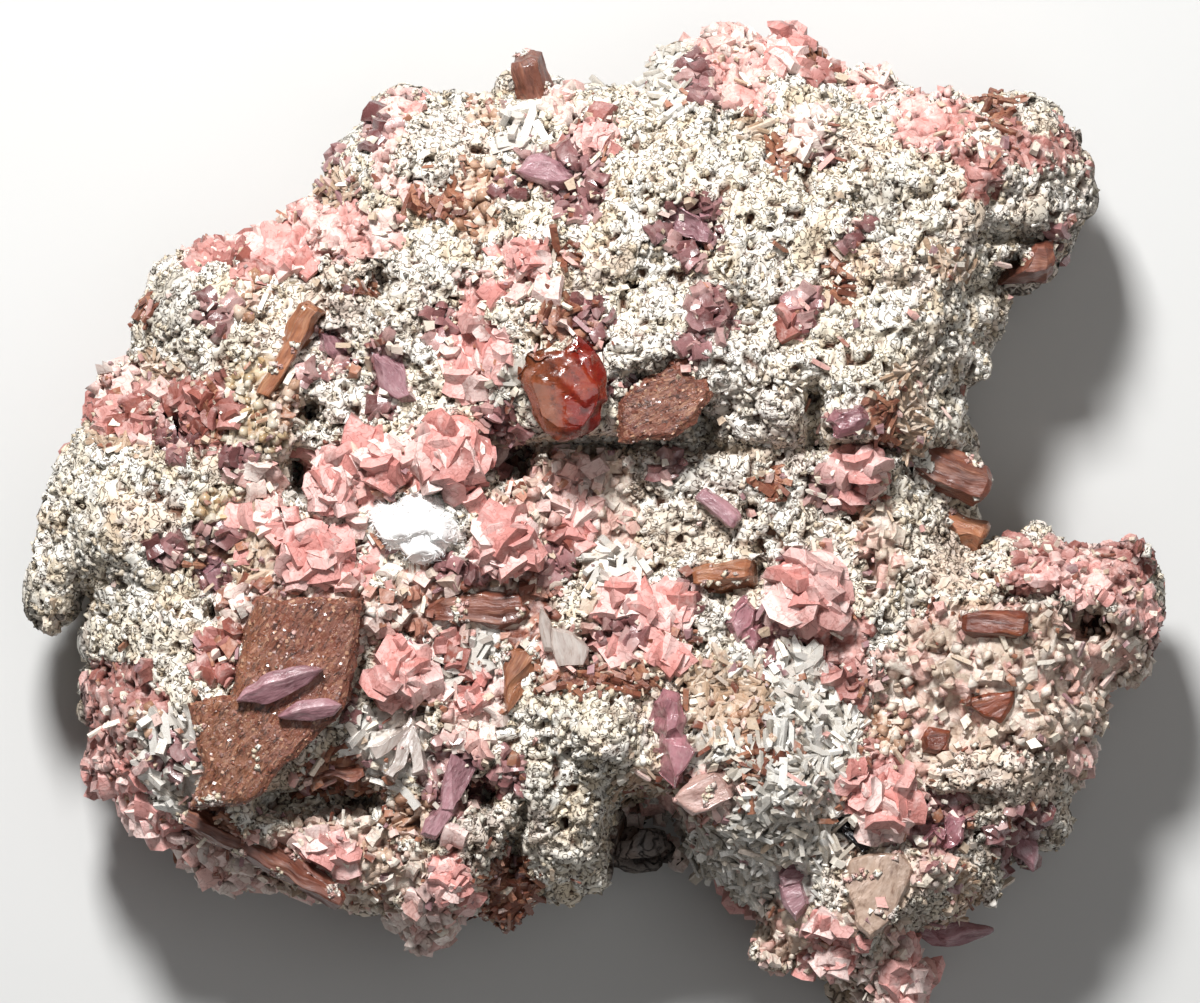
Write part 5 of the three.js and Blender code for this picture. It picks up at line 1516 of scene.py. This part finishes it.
def refined(name, soft, carriers):
    """A CAD crystal with softened edges and fine faces, whose foot runs on into what carries it."""
    work = bmesh.new()
    work.from_mesh(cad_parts[name].data)
    bmesh.ops.scale(work, vec=(1 / MM,) * 3, verts=work.verts)
    bmesh.ops.remove_doubles(work, verts=work.verts, dist=1e-3)
    bmesh.ops.dissolve_limit(work, angle_limit=math.radians(2), verts=work.verts, edges=work.edges)
    foot = set() if name in UNDER_ROCK else sink_foot(work, carriers)
    soften(work, foot, soft)
    bmesh.ops.triangulate(work, faces=work.faces[:])
    for _ in range(7):
        long = [edge for edge in work.edges if edge.calc_length() > FINE_EDGE]
        if not long:
            break
        bmesh.ops.subdivide_edges(work, edges=long, cuts=1)
        bmesh.ops.triangulate(work, faces=[face for face in work.faces if len(face.verts) > 3])
    bmesh.ops.recalc_face_normals(work, faces=work.faces[:])
    points = np.array([vert.co for vert in work.verts])
    normals = np.array([vert.normal for vert in work.verts])
    faces = np.array([[vert.index for vert in face.verts] for face in work.faces])
    work.free()
    return in_fixed_order(points, normals, faces)


def own_coordinates(points, turn):
    """Points in a crystal's own frame, with x along its streaks."""
    x, y, z = points.T
    cos, sin = math.cos(math.radians(turn)), math.sin(math.radians(turn))
    return np.stack([x * cos + y * sin, y * cos - x * sin, z], -1)


def crystal_tone(name, colour, points, own, ridge):
    """A crystal's colours: cloudy, striped by its ridges, and darker at its foot with painted shade."""
    tone = np.tile(linear(colour), (len(points), 1))
    if name in SECOND_COLOURS:
        other, left, right = SECOND_COLOURS[name]
        across = to_grid(points)[:, 0] + 14 * noise(points, 2.0, 26)
        share = smoothstep(right, left, across)[:, None]
        tone = tone * (1 - share) + linear(other) * share
    tone *= (1 + 0.22 * noise(own * (0.3, 1, 1), 1.6, 25) + 0.12 * ridge)[:, None]
    # Painted shade: darker towards the crystal's foot.
    low = points[:, 2].min()
    return tone * (0.6 + 0.4 * smoothstep(low, low + 1.6, points[:, 2]))[:, None]


def dressed_crystal(name):
    """The finished look of one CAD crystal; gives its points and faces."""
    style, turn = CRYSTALS[name]
    colour, slot, soft, ridges, lumps = STYLES[style]
    carriers = ("matrix", "great_brown_plate") if "on_plate" in name else ("matrix",)
    points, faces, normals = refined(name, soft, tree_of(*carriers))
    own = own_coordinates(points, turn)
    ridge = noise(own * (0.12, 1, 1), 0.5, 21) + 0.6 * noise(own * (0.2, 1, 1), 0.28, 22)
    relief = ridges * ridge + lumps * (noise(points, 0.9, 23) + 0.5 * noise(points, 0.4, 24))
    if name in STEPPED:
        size, height = STEPPED[name]
        relief += height * (blocks(points, size, 1.3, 29)[0] - LEVELLED["blocks"])
    points = points + normals * (relief - 0.5 * (ridges + lumps))[:, None]
    points[:, :2] += RAGGED * np.stack([noise(points, 1.3, 27), noise(points, 1.3, 28)], -1)
    tone = crystal_tone(name, colour, points, own, ridge)
    material = style_material(style)
    piece = mesh_piece(name + "_look", points, faces, tone, material, slot, replaced=(name,))
    piece.data.set_sharp_from_angle(angle=CRYSTAL_CRISP)
    own_frame = piece.data.attributes.new("own", "FLOAT_VECTOR", "POINT")
    own_frame.data.foreach_set("vector", (own * MM).ravel())
    return points, faces


def spots_on(points, faces, gap, seed, lowest=0.2):
    """Evenly spread spots on a mesh of triangles, where it faces up, with its normals there."""
    corners = [points[faces[:, n]] for n in range(3)]
    across = np.cross(corners[1] - corners[0], corners[2] - corners[0])
    area = np.linalg.norm(across, axis=1)
    area = np.where(across[:, 2] / np.maximum(area, 1e-9) > lowest, area, 0)
    count = int(area.sum() / 2 / gap**2 * 8)
    pick, shares = strewn(np.random.default_rng(seed), area, count)
    spots = sum(shares[:, n:n + 1] * corners[n][pick] for n in range(3))
    kept = thinned(spots, np.full(count, gap))
    return spots[kept], (across / np.maximum(area, 1e-9)[:, None])[pick][kept]


def glitter(name, base, seed):
    """Tiny, tilted facets all over a sparkling crystal."""
    spots, facing = spots_on(*base, 0.36, seed)
    random = np.random.default_rng(seed)
    tints = palette(GLITTER)[random.choice(len(GLITTER), len(spots), p=GLITTER_SHARES)]
    frames = frames_drawn(random, facing, 0.35)
    size = random.uniform(0.12, 0.28, len(spots))
    facets = pile("chip", spots - facing * 0.06, frames, size, tints, seed, 0.8)
    mesh_piece(name, *facets, style_material("brown"), "red_brown_crystal", False)


def crumbs(bases):
    """Clumps of pale grains that have grown or fallen on the large crystals."""
    found = []
    for seed, (name, share) in enumerate(CRUMBED.items()):
        spots, facing = spots_on(*bases[name], 0.4, 400 + seed)
        clumps = noise(spots, 1.5, 450 + seed)
        kept = clumps > np.quantile(clumps, 1 - share)
        spots, facing = spots[kept], facing[kept]
        random = np.random.default_rng(500 + seed)
        tints = tints_drawn(random, KINDS["cream"]["colours"] + KINDS["pale"]["colours"], len(spots))
        frames = frames_drawn(random, facing, 0.5)
        size = random.uniform(0.35, 0.8, len(spots))
        found.append(pile("nub", spots, frames, size, tints, seed, 0.6))
    joined_pieces("crumbs", found, crust_material(), "cream_crusted_rock", True)


def rosette(name, seed):
    """Curved rhombs, large and small, that lean outwards in the room of a CAD rosette."""
    low, high = (np.array(corner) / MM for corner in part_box(name))
    middle = (low + high) / 2
    reach = (high - low) / 2
    random = np.random.default_rng(seed)
    large = 13 if reach[0] > 2.2 else 8
    count = large * 4
    small = count - large
    turns = np.arange(count) * 2.4 + random.uniform(0, 0.5, count)
    out = np.sqrt(np.concatenate([np.arange(large) / large, np.arange(small) / small]) + 0.3 / large)
    share = np.where(np.arange(count) < large, 0.75, 0.42)
    size = reach[:2].mean() * share * random.uniform(0.75, 1.2, count)
    base = middle[2] - 0.2 * reach[2]
    dome = np.stack([np.cos(turns) * out * 0.85, np.sin(turns) * out * 0.85, 1 - 0.75 * out * out], -1)
    spots = np.array([*middle[:2], base]) + dome * (*reach[:2], high[2] - base) * 0.8
    facing = dome * (1.1, 1.1, 1)
    facing /= np.linalg.norm(facing, axis=1)[:, None]
    tints = tints_drawn(random, KINDS["pink"]["colours"], count) * random.uniform(0.9, 1.05, (count, 1))
    frames = frames_drawn(random, facing, 0.5)
    free = ~over_crystals(spots, 0.42 * size, tree_of(*STANDING))
    rhombs = pile("rhomb", spots[free], frames[free], size[free], tints[free], seed, 0.45)
    built = mesh_piece(name + "_look", *rhombs, pink_material(), "pink_crystal", replaced=(name,))
    built.data.set_sharp_from_angle(angle=DRUSE_CRISP)


def white_tuft():
    """A snow-white fluffy mound with loose, hair-fine needles."""
    points, faces, normals = refined("white_tuft", 0.5, tree_of("matrix"))
    raised = 0.09 * noise(points, 1.9, 31) + 0.03 * noise(points, 0.5, 32) + 0.3
    points = points + normals * raised[:, None]
    low = points[:, 2].min()
    points[:, 2] = low + (points[:, 2] - low) * TUFT_STRETCH
    tone = np.tile(linear("#fffefc"), (len(points), 1))
    random = np.random.default_rng(33)
    spots, facing = spots_on(points, faces, 0.42, 34, -0.3)
    rim = facing[:, 2] < 0.75
    spots, facing = spots[rim], facing[rim]
    frames = frames_drawn(random, facing, 0.3, 1.2)
    size = random.uniform(0.6, 1.4, len(spots))
    needles = pile("needle", spots, frames, size, tone[:len(spots)], 35, 1.0)
    parts = joined([(points, faces, tone), needles])
    mesh_piece("white_tuft_look", *parts, fibre_material(), "white_fibres", replaced=("white_tuft",))


def crystals_and_rosettes():
    """Every CAD crystal in its finish."""
    bases = {name: dressed_crystal(name) for name in CRYSTALS}
    glitter("plate_glitter", bases["great_brown_plate"], 41)
    glitter("block_glitter", bases["sparkling_brown_block"], 42)
    crumbs(bases)
    for number, name in enumerate(ROSETTES):
        rosette(name, 200 + number)
    white_tuft()


# ---- Stage ---------------------------------------------------------------------------------------------
def area_light(name, place, size, watts):
    """A square soft light that points at the specimen, with its place and size in metres."""
    light = bpy.data.lights.new(name, "AREA")
    light.size = size
    light.energy = watts
    lamp = bpy.data.objects.new(name, light)
    bpy.context.scene.collection.objects.link(lamp)
    lamp.location = place
    lamp.rotation_euler = (-lamp.location).to_track_quat("-Z", "Y").to_euler()


def stage():
    """A plain pale floor, soft studio light and the camera, which looks straight down."""
    bpy.ops.mesh.primitive_plane_add(size=2)
    floor = bpy.context.object
    floor.name = "floor"
    look = Surface("floor", Roughness=0.8, Base_Color=(0.62, 0.62, 0.61, 1))
    floor.data.materials.append(look.material)

    world = bpy.data.worlds.new("studio")
    bpy.context.scene.world = world
    world.use_nodes = True
    background = world.node_tree.nodes["Background"]
    background.inputs["Color"].default_value = (1.0, 1.0, 1.0, 1)
    background.inputs["Strength"].default_value = 0.09
    area_light("key", (-0.08, 0.3, 0.41), 0.09, 3.95)
    area_light("fill", (0.15, -0.05, 0.55), 0.4, 0.5)

    camera = bpy.data.objects.new("camera", bpy.data.cameras.new("camera"))
    bpy.context.scene.collection.objects.link(camera)
    x, y = from_grid(VIEW_CENTRE)
    camera.location = (x * MM, y * MM, CAMERA_HEIGHT)
    camera.data.sensor_width = SENSOR
    camera.data.lens = SENSOR * (CAMERA_HEIGHT - FRONT_LEVEL * MM) / (VIEW_WIDTH * STEP * MM)
    bpy.context.scene.camera = camera
    bpy.context.scene.view_settings.view_transform = "Standard"


rock_and_cover()
crystals_and_rosettes()
stage()
